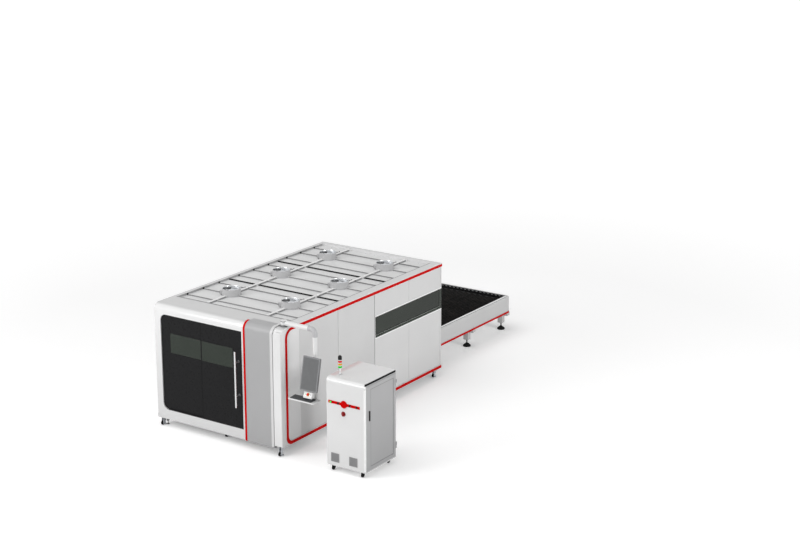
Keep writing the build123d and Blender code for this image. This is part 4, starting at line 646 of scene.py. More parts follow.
def piece(name, mesh, material, body="machine"):
    """Turn a finished mesh into an object that rides on a body."""
    data = bpy.data.meshes.new(name)
    mesh.to_mesh(data)
    mesh.free()
    data.polygons.foreach_set("use_smooth", [True] * len(data.polygons))
    data.set_sharp_from_angle(angle=SMOOTH_UNDER)
    data.materials.append(material)
    made = bpy.data.objects.new(name, data)
    scene.collection.objects.link(made)
    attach(made, body)
    print(name, len(data.polygons), "faces on", body)


def stamped(name, shape, places, material, axis=(0, 0, 1), body="machine"):
    """A piece that is one shape at a few places."""
    mesh = bmesh.new()
    for place in places:
        stamp(mesh, shape, place, axis)
    piece(name, mesh, material, body)


print("pieces get rounded shading under", round(math.degrees(SMOOTH_UNDER)), "degrees")

# %% [markdown]
# ## Front door
#
# Two dark sheets close the front, each with a pane of safety glass in a rubber frame. The sliding sheet has
# a slim metal profile along its free edge, which shows as the line in the middle of the front, and its long
# handle stands off on two turned posts.

# %% Door gaskets and profile
SEAM_X = -362.5
SLIDE_Y, FIXED_Y = 2.5, 21.5
PANE_LOW, PANE_HIGH = 1446.0, 1818.0
PANE_WIDTH = 714.5
FIXED_PANE_X, SLIDING_PANE_X = -1095.0, -344.5
GASKET, GASKET_LAP = 9.0, 2.0
LEAF = (366.0, 2134.0)
PROFILE_X = (SEAM_X + 0.2, SEAM_X + 9)
PROFILE_Y = (SLIDE_Y - 1.2, SLIDE_Y + 12)


def pane_gasket(name, left, front, thick, body):
    """Rubber frame round a pane, with a lap over its edge."""
    mesh = bmesh.new()
    border(mesh, (left - GASKET, front, PANE_LOW - GASKET), (PANE_WIDTH + 2 * GASKET, 0, 0),
           (0, 0, PANE_HIGH - PANE_LOW + 2 * GASKET), GASKET + GASKET_LAP, thick)
    piece(name, mesh, rubber, body)


pane_gasket("fixed_pane_gasket", FIXED_PANE_X, FIXED_Y - 1.2, 1.6, "machine")
pane_gasket("sliding_pane_gasket", SLIDING_PANE_X, SLIDE_Y - 1.4, 1.8, "sliding_door")
mesh = bmesh.new()
slab(mesh, PROFILE_X, PROFILE_Y, LEAF, 0.5, 1)
piece("leaf_edge_profile", mesh, edge_metal, "sliding_door")

# %% Handle posts
HANDLE_X = 505.0
POST_HEIGHTS = (975.0, 1595.0)
sleeve = lathe([(10.2, 0), (22, 0), (22.4, 2), (22, 7), (20, 8), (12.4, 8), (11.4, 10), (11.4, 90),
                (10.2, 90), (10.2, 0)], 28)
posts = [(HANDLE_X, SLIDE_Y, height) for height in POST_HEIGHTS]
stamped("handle_posts", sleeve, posts, hub_paint, (0, -1, 0), "sliding_door")

# %% [markdown]
# ## Front skirt and column edge
#
# The sheets of the front are folded under at the foot, so that the front ends in a soft round edge above
# the floor. The grey column ends on its right in a paler rounded bead that follows the hood up and over its
# top. A skirt is a box with one long edge rounded. The bead starts as one short edge, is drawn up the
# front, turned about the hood's round and drawn back, and the ribbon that this leaves is then pulled
# sideways into a solid.

# %% Skirts
SKIRT_LOW, SKIRT_HIGH = 136.0, 226.0
SKIRT_BACK = 66.0
SKIRT_ROUND, ROUND_STEPS = 38.0, 5
HOOD_LEFT, STRIPE_LEFT = -1449.0, 624.0
COLUMN_LEFT, COLUMN_RIGHT = 666.0, 1266.0
SHEET_GAP = 0.2
NEAR = 1.0


def skirt(name, x0, x1, proud, material, open_side=False):
    """Folded foot of a front sheet, rounded in front and, where its side is open, on the left."""
    mesh = bmesh.new()
    slab(mesh, (x0, x1), (-proud, SKIRT_BACK), (SKIRT_LOW, SKIRT_HIGH))
    mesh.normal_update()
    low = [e for e in mesh.edges if all(v.co.z < spot(0, 0, SKIRT_LOW + NEAR).z for v in e.verts)]
    front = [e for e in low if all(v.co.y < spot(0, NEAR, 0).y for v in e.verts)]
    left = [e for e in low if all(v.co.x < spot(x0 + NEAR, 0, 0).x for v in e.verts)]
    soften(mesh, front + (left if open_side else []), SKIRT_ROUND, ROUND_STEPS)
    piece(name, mesh, material)


skirt("hood_skirt", HOOD_LEFT, STRIPE_LEFT - SHEET_GAP, 0.8, hood_paint, True)
skirt("stripe_skirt", STRIPE_LEFT, COLUMN_LEFT - SHEET_GAP, 18.8, red_paint)
skirt("column_skirt", COLUMN_LEFT, COLUMN_RIGHT, 15.8, grey_paint)

# %% Column edge
HOOD_TOP, HOOD_ROUND = 2340.0, 125.0
COLUMN_FACE = 15.0
BEAD_X = (1214.0, 1266.5)
BEAD_SKIN = (2.5, -4.0)
BEAD_LOW = SKIRT_LOW + 30
BEAD_REACH = 120.0
mesh = bmesh.new()
ends = [mesh.verts.new(spot(BEAD_X[0], -COLUMN_FACE - out, BEAD_LOW)) for out in BEAD_SKIN]
edges = draw_out(mesh, [mesh.edges.new(ends)], (0, 0, HOOD_TOP - HOOD_ROUND - BEAD_LOW))
edges = turn_out(mesh, edges, (0, HOOD_ROUND, HOOD_TOP - HOOD_ROUND), (1, 0, 0), -90, 10)
draw_out(mesh, edges, (0, BEAD_REACH, 0))
solid = bmesh.ops.extrude_face_region(mesh, geom=list(mesh.faces))["geom"]
bmesh.ops.translate(mesh, verts=[v for v in solid if isinstance(v, bmesh.types.BMVert)],
                    vec=((BEAD_X[1] - BEAD_X[0]) * MM, 0, 0))
bmesh.ops.recalc_face_normals(mesh, faces=mesh.faces)
piece("column_edge", mesh, edge_paint)

# %% [markdown]
# ## Red bands
#
# A red band runs round the foot of each side and of the table. The painted stripes in the CAD are a little
# narrower, so a thin band lies over them. Its section is a small rectangle, which is drawn along each
# straight and turned about each corner, as a fitter would lay a tape.

# %% Foot bands
SIDE_X, SIDE_END = 1450.0, 5108.0
FOOT_BAND = (186.0, 222.0)
FOOT_Y, FOOT_Z = 250.0, 332.0
BAND_SKIN = (1.0, 5.5)
BAND_STEPS = 8


def section(across, up):
    """Corners of a small rectangle between two pairs of sizes, in order round it."""
    return [(across[0], up[0]), (across[1], up[0]), (across[1], up[1]), (across[0], up[1])]


reach = [FOOT_Z - z for z in FOOT_BAND]
mesh = bmesh.new()
for side in (-1, 1):
    skin = [side * (SIDE_X + out) for out in BAND_SKIN]
    corners = [(x, FOOT_Y - radius, FOOT_Z) for x, radius in section(skin, reach)]
    edges = turn_out(mesh, ring_of(mesh, corners), (0, FOOT_Y, FOOT_Z), (1, 0, 0), 90, BAND_STEPS)
    draw_out(mesh, edges, (0, SIDE_END - FOOT_Y, 0))
close_ends(mesh)
piece("foot_bands", mesh, red_paint)

# %% Table band
TABLE_BAND = (400.0, 442.0)
TABLE_SIDE = 1070.0
TABLE_START, TABLE_CORNER = 5112.0, 8355.0
TABLE_ROUND = 120.0
skin = [TABLE_SIDE + out for out in BAND_SKIN]
middle = TABLE_SIDE - TABLE_ROUND
mesh = bmesh.new()
edges = ring_of(mesh, [(x, TABLE_START, z) for x, z in section(skin, TABLE_BAND)])
edges = draw_out(mesh, edges, (0, TABLE_CORNER - TABLE_START, 0))
edges = turn_out(mesh, edges, (middle, TABLE_CORNER, 0), (0, 0, 1), 90, BAND_STEPS)
edges = draw_out(mesh, edges, (-2 * middle, 0, 0))
edges = turn_out(mesh, edges, (-middle, TABLE_CORNER, 0), (0, 0, 1), 90, BAND_STEPS)
draw_out(mesh, edges, (0, TABLE_START - TABLE_CORNER, 0))
close_ends(mesh)
piece("table_band", mesh, red_paint)

# %% [markdown]
# ## Side windows
#
# Each side has a long strip of tinted glass. A folded lip runs along its top and bottom in a paint brighter
# than the sheet, a painted highlight where its edge catches the light, a rubber profile holds the pane, and
# dark covers carry the strip down to the lower lip and on to the rear corner. A narrow seal fills the joint
# between the front and the rear panels.

# %% Window lips, covers and seals
WINDOW = (2848.0, 5070.0, 1465.0, 1825.0)
FACE_X, SINK = 1440.0, 1.0
LIP, LIP_PROUD, LIP_LEAD = 22.0, 3.0, 8.0
FRIT_LOW = 1419.0
COVER_PROUD, COVER_LAP, COVER_GAP = 1.5, 4.0, 1.0
JOINT_Y, JOINT_HALF = 2820.0, 5.0
PANEL_LOW, PANEL_HIGH = 262.0, 2250.0
SEAL_DEPTH, SEAL_WIDTH, SEAL_THICK = 10.0, 15.0, 2.0


def on_side(side, inner, outer):
    """The two X of a strip that lies between two distances from the middle, on one side."""
    return sorted((side * inner, side * outer))


y0, y1, low, high = WINDOW
lips, seals, covers, joints = bmesh.new(), bmesh.new(), bmesh.new(), bmesh.new()
for side in (1, -1):
    skin = on_side(side, FACE_X - SINK, FACE_X + LIP_PROUD)
    for z in (FRIT_LOW - LIP, high):
        slab(lips, skin, (y0 - LIP_LEAD, SIDE_END), (z, z + LIP), 1.5, 2)
    skin = on_side(side, FACE_X - SINK, FACE_X + COVER_PROUD)
    slab(covers, skin, (y1 - COVER_LAP, SIDE_END), (low + COVER_GAP, high - COVER_GAP), 0.7, 1)
    slab(covers, skin, (y0, SIDE_END), (FRIT_LOW + COVER_GAP, low + COVER_GAP / 2), 0.7, 1)
    slab(joints, skin, (JOINT_Y - JOINT_HALF, JOINT_Y + JOINT_HALF), (PANEL_LOW, PANEL_HIGH), 0.7, 1)
    along, start = ((0, y1 - y0, 0), y0) if side > 0 else ((0, y0 - y1, 0), y1)
    corner = (side * (FACE_X - SEAL_DEPTH), start, low)
    border(seals, corner, along, (0, 0, high - low), SEAL_WIDTH, SEAL_THICK)
# Painted highlight: the lips are brighter than the sheet around them.
piece("window_highlight_lips", lips, highlight_paint)
piece("window_covers", covers, window_cover)
piece("window_seals", seals, window_cover)
piece("panel_joints", joints, trim_grey)

# %% [markdown]
# ## Roof seals, joints and screws
#
# The roof is three sections of sheet with folded ribs, screwed down on a frame. Where two sections meet, a
# black rubber profile keeps the fumes in and stands up above the sheet, and a short cover bridges each long
# rib. The screws are one small turned shape, stamped along the edges of each section.

# %% Roof seals and rib covers
ROOF_X0, ROOF_X1 = -1360.0, 1260.0
ROOF_TOP, RIB_TOP = 2295.0, 2323.0
SECTION_SEAMS = (2020.0, 3510.0)
FAN_ROWS = (1275.0, 2765.0, 4255.0)
FAN_X = 682.0
RIB_HALF = 30.0
SEAL_Z = (ROOF_TOP - 13, ROOF_TOP + 24)
SEAL_HALF, SEAL_INSET = 10.0, 14.0
COVER_HALF, COVER_SKIN, COVER_SINK = 34.0, 1.5, 5.0


def free_spans(left, right, gap):
    """The three stretches across the roof that the two lines of fans leave free."""
    return (left, -FAN_X - gap), (-FAN_X + gap, FAN_X - gap), (FAN_X + gap, right)


seals, covers = bmesh.new(), bmesh.new()
half = RIB_HALF + COVER_SKIN
for seam in SECTION_SEAMS:
    for x0, x1 in free_spans(ROOF_X0, ROOF_X1, RIB_HALF):
        slab(seals, (x0 + SEAL_INSET, x1 - SEAL_INSET), (seam - SEAL_HALF, seam + SEAL_HALF), SEAL_Z, 5, 2)
    for x in (-FAN_X, FAN_X):
        slab(covers, (x - half, x + half), (seam - COVER_HALF, seam + COVER_HALF),
             (ROOF_TOP - COVER_SINK, RIB_TOP + COVER_SKIN), 2, 1)
piece("roof_seals", seals, rubber)
piece("rib_covers", covers, roof_paint)

# %% Roof screws
SCREW_STEPS = 12
SCREW_INSET, SCREW_CLEAR = 50.0, 12.0
ROW_REACH = 700.0


def button_head(radius):
    """Low round screw head with a dished top, a few dozen faces."""
    return lathe([(0, 0.35 * radius), (0.45 * radius, 0.35 * radius), (0.5 * radius, 0.7 * radius),
                  (0.85 * radius, 0.45 * radius), (radius, 0), (0, 0)], 8)


screw = button_head(8)
pitch = (ROOF_X1 - ROOF_X0 - 2 * SCREW_INSET) / SCREW_STEPS
places = []
for row in FAN_ROWS:
    for y in (row - ROW_REACH, row + ROW_REACH):
        for step in range(SCREW_STEPS + 1):
            x = ROOF_X0 + SCREW_INSET + step * pitch
            if abs(abs(x) - FAN_X) > RIB_HALF + SCREW_CLEAR:
                places.append((x, y, ROOF_TOP))
stamped("roof_screws", screw, places, zinc_steel)

# %% [markdown]
# ## Rib trims of painted shade, and highlight rails
#
# Each cross rib is a folded channel, and a grey trim on its front face is painted shade, which draws the fine
# dark lines across the roof. The left rim has the same painted shade along its inner face, and each rib ends
# there in a black block, painted shade in the gap between rib and rim. Each long rib carries a rail painted
# brighter than the roof, a painted highlight on its top, which stops short of the fans, and a grey trim of
# painted shade on one side. A trim is a long box with slightly rounded edges, left out where a fan or a long
# rib is in the way. Along the front of the roof a grey line marks the joint with the hood, and the right rim
# has a grey line along its inner edge.

# %% Rib trims of painted shade and highlight rails
RIB_PITCH = 452.0
CROSS_HALF, CROSS_TOP = 13.0, 2320.0
FLANGE_CLEAR = 192.0
TRIM_PROUD, TRIM_SINK, TRIM_END = 2.5, 0.5, 2.0
TRIM_FOOT = ROOF_TOP + TRIM_SINK
END_SHADE_X = (ROOF_X0 + 1, ROOF_X0 + 34)
END_SHADE_Z = (ROOF_TOP + 1, CROSS_TOP + 5)
END_SHADE_LAP = 4.0
RIB_BOLT = 46.0
RAIL_HALF, RAIL_INSET = 15.0, 12.0
RAIL_Z = (RIB_TOP - 2, RIB_TOP + 4)
shade_and_joint_trims, end_shades, rib_bolts, rails = bmesh.new(), bmesh.new(), bmesh.new(), bmesh.new()
cap_screw = button_head(13)
for row in FAN_ROWS:
    for shift in (-RIB_PITCH, 0, RIB_PITCH):
        front = row + shift - CROSS_HALF
        gap = FLANGE_CLEAR if shift == 0 else RIB_HALF + 1
        for span in free_spans(ROOF_X0 + TRIM_END, ROOF_X1 - TRIM_END, gap):
            # Painted shade: a grey trim on each cross rib's front face stands for its shaded face.
            slab(shade_and_joint_trims, span, (front - TRIM_PROUD, front + TRIM_SINK), (TRIM_FOOT, CROSS_TOP - 1), 0.8, 1)
        # Painted shade: a black block in the gap where the rib meets the left rim.
        slab(end_shades, END_SHADE_X, (front - END_SHADE_LAP, front + 2 * CROSS_HALF + END_SHADE_LAP), END_SHADE_Z, 4)
    for x in (-FAN_X, FAN_X):
        for side in (-RIB_BOLT, RIB_BOLT):
            stamp(rib_bolts, cap_screw, (x + side, row + RIB_PITCH, CROSS_TOP))
        face = x + RIB_HALF
        for run in ((row - ROW_REACH + RAIL_INSET, row - FLANGE_CLEAR),
                    (row + FLANGE_CLEAR, row + ROW_REACH - RAIL_INSET)):
            # Painted shade: a grey trim on the long rib's side; the rail on its top is a painted highlight.
            slab(shade_and_joint_trims, (face - TRIM_SINK, face + TRIM_PROUD), run, (TRIM_FOOT, RIB_TOP - 2), 0.8, 1)
            slab(rails, (x - RAIL_HALF, x + RAIL_HALF), run, RAIL_Z, 2, 1)
print("rib trims so far", len(shade_and_joint_trims.faces), "faces")

# %% Rim trims and rim shade
RIM_TOP = 2340.0
RIM_RUN = (545.0, 4985.0)
RIM_FRONT = (527.0, 536.0)
# A grey line along the inner edge of the right rim.
slab(shade_and_joint_trims, (ROOF_X1 - 1, ROOF_X1 + 9), RIM_RUN, (RIM_TOP - 6, RIM_TOP + 2.5), 1, 1)
# A grey line along the joint between the roof and the hood.
slab(shade_and_joint_trims, (ROOF_X0, ROOF_X1), RIM_FRONT, (RIM_TOP - 4, RIM_TOP + 8), 2, 2)
piece("roof_shade_and_joint_trims", shade_and_joint_trims, trim_grey)
# Painted highlight: the rails are brighter than the roof.
piece("rib_highlight_rails", rails, highlight_paint)
mesh = bmesh.new()
# Painted shade: a grey strip on the left rim's inner face stands for the shade there.
slab(mesh, (ROOF_X0, ROOF_X0 + TRIM_PROUD), RIM_RUN, (ROOF_TOP + 3, ROOF_TOP + 36), 0.8, 1)
piece("rim_shade_trim", mesh, grey_paint)
piece("rib_end_shades", end_shades, rubber)
piece("rib_bolts", rib_bolts, black_plastic)

# %% [markdown]
# ## Roof fans
#
# Six fans draw the smoke out. Each short round housing has a polished bell inside that rolls over its rim,
# bolts through its flange, a small black terminal box and a cable gland. All but the box is turned, so an
# outline spun about the fan's axis makes it, and the six copies differ only in place.

# %% Fan bells, bolts and terminal boxes
FAN_TOP, BELL_LIFT = 2430.0, 0.4
FLANGE_TOP = ROOF_TOP + 7
BOLT_CIRCLE = 181.5
BOLT_TURNS = range(22, 382, 45)
BOX_TURN, BOX_OUT, BOX_Z = 215.0, 213.0, 2348.0
GLAND_OUT, GLAND_Z = 190.0, 2317.0
LID_SIZE = (0.006, 0.066, 0.054)
bell = lathe([(166, 0.4), (162.5, -0.6), (160.2, -4), (159, -12), (158.6, -40), (158.6, -112), (160.2, -112),
              (160.3, -7), (163, -2.5), (166, 0.4)], 56)
bolt = button_head(7)
lid = bmesh.new()
bmesh.ops.create_cube(lid, size=1.0)
bmesh.ops.scale(lid, verts=lid.verts, vec=LID_SIZE)
soften(lid, lid.edges, 2)
gland = lathe([(0, 0), (9, 0), (9, 7), (7.5, 9), (7.5, 16), (5, 18), (0, 18)], 12)


def around(x, y, z, radius, degrees):
    """A place on a circle about a fan's axis."""
    turn = math.radians(degrees)
    return (x + radius * math.cos(turn), y + radius * math.sin(turn), z)


bells, bolts, lids = bmesh.new(), bmesh.new(), bmesh.new()
for x in (-FAN_X, FAN_X):
    for y in FAN_ROWS:
        stamp(bells, bell, (x, y, FAN_TOP + BELL_LIFT))
        for turn in BOLT_TURNS:
            stamp(bolts, bolt, around(x, y, FLANGE_TOP, BOLT_CIRCLE, turn))
        stamp(lids, lid, around(x, y, BOX_Z, BOX_OUT, BOX_TURN), turn=BOX_TURN)
        stamp(lids, gland, around(x, y, GLAND_Z, GLAND_OUT, BOX_TURN), (0, 0, -1))
piece("fan_bells", bells, bright_steel)
piece("fan_bolts", bolts, zinc_steel)
piece("fan_box_lids", lids, black_plastic)

# %% [markdown]
# ## Console
#
# The arm's two tubes meet in a cast elbow with a collar at each end. Below the screen, a sloping box
# carries the red stop button on its yellow ring with two small push buttons beside it, and a keyboard lies
# on the tray. Each key is a cube whose top is drawn in a little, and one key is stamped in rows.

# %% Arm elbow and hub bands
POST_X, ARM_Y, ARM_Z = 2005.0, 230.0, 2396.0
ELBOW, BEND = 130.0, 84.0
SLEEVE, SLEEVE_INSET = 46.8, 6.0
HUB_X = 1340.0
HUB_BANDS = (2362.0, 2430.0)
arm_end = (POST_X - ELBOW + SLEEVE_INSET, ARM_Y, ARM_Z)
run = ELBOW - BEND - SLEEVE_INSET

mesh = bmesh.new()
ring = bmesh.ops.create_circle(mesh, cap_ends=False, segments=40, radius=SLEEVE * MM)["verts"]
bmesh.ops.rotate(mesh, verts=ring, cent=(0, 0, 0), matrix=Matrix.Rotation(math.radians(90), 3, "Y"))
bmesh.ops.translate(mesh, verts=ring, vec=spot(*arm_end))
edges = draw_out(mesh, list(mesh.edges), (run, 0, 0))
edges = turn_out(mesh, edges, (POST_X - BEND, ARM_Y, ARM_Z - BEND), (0, 1, 0), 90, 14)
draw_out(mesh, edges, (0, 0, -run))
close_ends(mesh)
collar = lathe([(38, -7), (48, -7), (49.5, -5), (49.5, 5), (48, 7), (38, 7), (38, -7)], 40)
stamp(mesh, collar, arm_end, (1, 0, 0))
stamp(mesh, collar, (POST_X, ARM_Y, ARM_Z - ELBOW + SLEEVE_INSET))
piece("arm_elbow", mesh, elbow_paint, "console")
band = lathe([(55.5, -6), (58, -5), (58, 5), (55.5, 6), (55.5, -6)], 48)
places = [(HUB_X, ARM_Y, height) for height in HUB_BANDS]
stamped("hub_bands", band, places, hub_paint, body="console")

# %% Keys
KEY_ROWS, KEY_COLUMNS = 5, 15
KEY_PITCH, ROW_PITCH = 28.0, 26.5
KEY_LEFT, KEY_FRONT, KEY_SEAT = 24.0, 18.0, 3.0
KEY_SIZE = (0.0215, 0.021, 0.008)
KEY_CROWN = (0.78, 0.76, 1.0)
KEYBOARD = (1642.5, -28.0, 1176.0)
KEYBOARD_RISE = 12.0 / 150.0
key = bmesh.new()
bmesh.ops.create_cube(key, size=1.0)
bmesh.ops.scale(key, verts=key.verts, vec=KEY_SIZE)
bmesh.ops.scale(key, verts=[v for v in key.verts if v.co.z > 0], vec=KEY_CROWN)
soften(key, [e for e in key.edges if all(v.co.z > 0 for v in e.verts)], 1.2, 1)
left, front, top = KEYBOARD
places = []
for row in range(KEY_ROWS):
    back = KEY_FRONT + row * ROW_PITCH
    rise = back * KEYBOARD_RISE + KEY_SEAT
    for column in range(KEY_COLUMNS):
        places.append((left + KEY_LEFT + column * KEY_PITCH, front + back, top + rise))
stamped("keys", key, places, key_plastic, (0, -KEYBOARD_RISE, 1), "console")

# %% Stop ring and push buttons
SLOPE = Vector((0, -0.857, 0.514))
SLOPE_MIDDLE = Vector((2005, 9, 1289))
BUTTON_SIDE = 56.0
ring = lathe([(24.5, 0), (24.5, 2.5), (30, 2.5), (32, 1), (32, 0), (24.5, 0)], 40)
bezel = lathe([(9.2, 0), (9.2, 5), (11, 5), (12.5, 3), (12.5, 0), (9.2, 0)], 24)
dome = lathe([(0, 8), (5, 7.4), (8, 5.8), (9.1, 4), (9.1, 0), (0, 0)], 24)
left, right = (SLOPE_MIDDLE + Vector((shift, 0, 0)) for shift in (-BUTTON_SIDE, BUTTON_SIDE))
stamped("stop_ring", ring, [SLOPE_MIDDLE], yellow_plastic, SLOPE, "console")
stamped("button_bezels", bezel, [left, right], bright_steel, SLOPE, "console")
stamped("start_button", dome, [left], green_lens, SLOPE, "console")
stamped("pause_button", dome, [right], key_plastic, SLOPE, "console")

# %% [markdown]
# ## Signal tower
#
# Three coloured lenses and a black dome stand on a slim plated pole with a knuckle. Lamp lenses are ribbed
# inside so that they glow evenly; here each is a ring with shallow grooves, spun round the pole's axis over
# the plain white body.

# %% Tower lenses
TOWER = (2545.0, 205.0)
LENS_BASE = 1826.0
LENS_RISE, RING_RISE = 32.0, 16.0
GROOVES = 12
grooves = [(33.5 + 0.5 * (step % 2), 1 + step * 30 / GROOVES) for step in range(GROOVES + 1)]
sleeve = lathe([(32, 0.5), (33.2, 0.5), *grooves, (33.2, 31.5), (32, 31.5), (32, 0.5)], 40)
level = LENS_BASE
for name, slot, finish in (("green", "lamp_green", green_lens), ("amber", "stop_red", amber_lens),
                           ("red", "stop_red", red_lens)):
    stamped(f"tower_lens_{name}", sleeve, [(*TOWER, level)], finish)
    level += LENS_RISE + RING_RISE

# %% Tower cap and knuckle
CAP_SKIN, CAP_STRAIGHT = 33.8, 43.0
KNUCKLE_Z, POLE_Z = 1712.0, 1700.0
arc = [math.radians(step * 15) for step in range(6)]
dome = [(CAP_SKIN * math.cos(a), CAP_STRAIGHT + CAP_SKIN * math.sin(a)) for a in arc]
cap = lathe([(0, 40), (32, 40), (32, 0.5), (CAP_SKIN, 0.5), *dome, (0, CAP_STRAIGHT + CAP_SKIN)], 40)
stamped("tower_cap", cap, [(*TOWER, level)], black_plastic)
knuckle = lathe([(11.1, 0), (21, 0), (22, 2), (22, 16), (15, 22), (11.1, 24), (11.1, 0)], 32)
pole = lathe([(11.05, 36), (11.5, 36), (11.5, 112), (11.05, 112), (11.05, 36)], 32)
mesh = bmesh.new()
stamp(mesh, knuckle, (*TOWER, KNUCKLE_Z))
stamp(mesh, pole, (*TOWER, POLE_Z))
piece("tower_knuckle", mesh, bright_steel)

# %% [markdown]
# ## Control cabinet
#
# A black strip of painted shade, the shadow in the gap under the lid, runs under the edge of the cabinet's
# lid, over a plain rail that closes the slot above the door. A rounded profile in a paint brighter than the
# cabinet's, a painted highlight, covers the front corner, a bead of grey rubber lines the pressed field of
# the door, black bezels frame the lamp and the buttons, and small screws hold the lid, but for the corner
# under the signal tower.
# The strip, the rail and the profile are on the frame, so the door swings clear of them.

# %% Cabinet trim
CABINET_SIDE = 3180.0
FIELD = (192.0, 884.0, 176.0, 1572.0)
FIELD_DEPTH, FIELD_BEAD, FIELD_SKIN = 3.0, 14.0, 1.5
STRIPS = (
    # Painted shade: a black strip for the shadow in the gap under the lid's edge.
    ("cabinet_lid_shade", (-8, 3.5), (28, 938), (1658, 1697), 3, 2, "rubber_black", rubber),
    ("cabinet_rail", (-19, -1), (66, 944), (1637, 1662), 3, 2, "cabinet_grey", cabinet_grey),
    # Painted highlight: the corner profile is brighter than the cabinet around it.
    ("cabinet_corner", (-22, 3), (17.5, 61), (130, 1600), 9, 4, "cabinet_white", highlight_paint),
)
for name, skin, deep, up, edge, segments, slot, finish in STRIPS:
    mesh = bmesh.new()
    slab(mesh, [CABINET_SIDE + out for out in skin], deep, up, edge, segments)
    piece(name, mesh, finish)
y0, y1, low, high = FIELD
mesh = bmesh.new()
corner = (CABINET_SIDE - FIELD_DEPTH, y0, low)
border(mesh, corner, (0, y1 - y0, 0), (0, 0, high - low), FIELD_BEAD, FIELD_SKIN)
piece("door_bead", mesh, trim_grey, "cabinet_door")

# %% Cabinet bezels and screws
CABINET_TOP = 1700.0
FASCIA_X = (2483.0, 2636.0, 2876.0, 3017.0)
FASCIA_Y, FASCIA_Z = 14.0, 1260.0
LID_X = (2440.0, 2785.0, 3130.0)
LID_Y = (150.0, 530.0, 910.0)
bezel = lathe([(15.3, 0), (15.3, 7), (18, 7), (20, 4), (20, 0), (15.3, 0)], 32)
places = [(x, FASCIA_Y, FASCIA_Z) for x in FASCIA_X]
stamped("cabinet_bezels", bezel, places, black_plastic, (0, -1, 0))
places = [(x, y, CABINET_TOP) for x in LID_X for y in LID_Y]
stamped("cabinet_screws", screw, places[1:], zinc_steel)

# %% [markdown]
# ## Rear slot
#
# The pallets run in and out through a slot in the rear cover. A folded frame stiffens its edge, and a row
# of brush tufts hangs from its head to hold back sparks; above the pallet's travel it only brushes the air.
# Screws hold the cover along its edges. The tufts are one tapered cube, stamped along the slot with a
# slightly different lean.

# %% Slot frame and brush
REAR_Y = 5110.0
SLOT_HALF, SLOT_HEAD, SLOT_FOOT = 960.0, 900.0, 764.0
FRAME_Y = (REAR_Y - 1, REAR_Y + 8)
HEAD_LAP = 24.0
JAMB_IN, JAMB_OUT = 2.0, 36.0
BAR_INSET = 4.0
BAR_Y, BAR_Z = (REAR_Y - 14, REAR_Y - 2), (SLOT_HEAD - 14, SLOT_HEAD - 0.5)
TUFTS, TUFT_STEP = 118, 16.0
TUFT_Y, TUFT_Z = REAR_Y - 8, SLOT_HEAD - 28
TUFT_SIZE, TUFT_FLARE, TUFT_LEAN = (0.012, 0.004, 0.034), (1.25, 1.6, 1.0), 0.06
mesh = bmesh.new()
slab(mesh, (-SLOT_HALF - HEAD_LAP, SLOT_HALF + HEAD_LAP), FRAME_Y, (SLOT_HEAD + 1, SLOT_HEAD + 40), 3)
for side in (-1, 1):
    jamb = on_side(side, SLOT_HALF + JAMB_IN, SLOT_HALF + JAMB_OUT)
    slab(mesh, jamb, FRAME_Y, (SLOT_FOOT, SLOT_HEAD + 8), 3)
piece("slot_frame", mesh, trim_grey)
tuft = bmesh.new()
bmesh.ops.create_cube(tuft, size=1.0)
bmesh.ops.scale(tuft, verts=tuft.verts, vec=TUFT_SIZE)
bmesh.ops.scale(tuft, verts=[v for v in tuft.verts if v.co.z < 0], vec=TUFT_FLARE)
mesh = bmesh.new()
slab(mesh, (-SLOT_HALF + BAR_INSET, SLOT_HALF - BAR_INSET), BAR_Y, BAR_Z, 1.5, 1)
for step in range(TUFTS):
    lean = TUFT_LEAN * math.sin(step * 2.4)
    stamp(mesh, tuft, (-SLOT_HALF + (step + 1) * TUFT_STEP, TUFT_Y, TUFT_Z), (lean, 0, 1))
piece("slot_brush", mesh, rubber)

# %% Rear screws
SIDE_SCREWS, HEAD_SCREWS = 7, 9
SCREW_X, SCREW_END, SCREW_DROP = 1405.0, 60.0, 40.0
HEAD_PITCH = 310.0
pitch = (PANEL_HIGH - PANEL_LOW - 2 * SCREW_END) / (SIDE_SCREWS - 1)
places = []
for x in (-SCREW_X, SCREW_X):
    places += [(x, REAR_Y, PANEL_LOW + SCREW_END + step * pitch) for step in range(SIDE_SCREWS)]
for step in range(HEAD_SCREWS):
    places.append(((step - HEAD_SCREWS // 2) * HEAD_PITCH, REAR_Y, PANEL_HIGH - SCREW_DROP))
stamped("rear_screws", screw, places, zinc_steel, (0, 1, 0))

# %% [markdown]
# ## Levelling screws
#
# Beside each castor stands a screw with a broad pad. Turned by its thumb wheel, it lifts the machine off
# the wheels and levels it. The screw, wheel and pad are one turned outline, and the thumb wheel gets
# notches by drawing in every second column of its rim.

# %% Levelling screws
PAD_PLACES = ((-1308, 112), (1308, 112), (-1308, 5042), (1308, 5042), (52, 302), (52, 4852))
JACK_STEPS = 24
WHEEL_LOW, WHEEL_HIGH, WHEEL_INNER = 0.074, 0.089, 0.029
NOTCH = (0.88, 0.88, 1.0)
jack = lathe([(0, 4), (25, 4), (27, 7), (27, 12), (22, 17), (11, 21), (8, 24), (8, 70), (26, 72), (30, 75),
              (30, 88), (26, 91), (12, 93), (12, 112), (8, 114), (8, 178), (0, 178)], JACK_STEPS)
rim = [v for v in jack.verts if WHEEL_LOW < v.co.z < WHEEL_HIGH and v.co.xy.length > WHEEL_INNER]
notches = [v for v in rim if round(math.atan2(v.co.y, v.co.x) * JACK_STEPS / math.tau) % 2]
bmesh.ops.scale(jack, verts=notches, vec=NOTCH)
places = [(x, y, 0) for x, y in PAD_PLACES]
stamped("levelling_screws", jack, places, hub_paint)

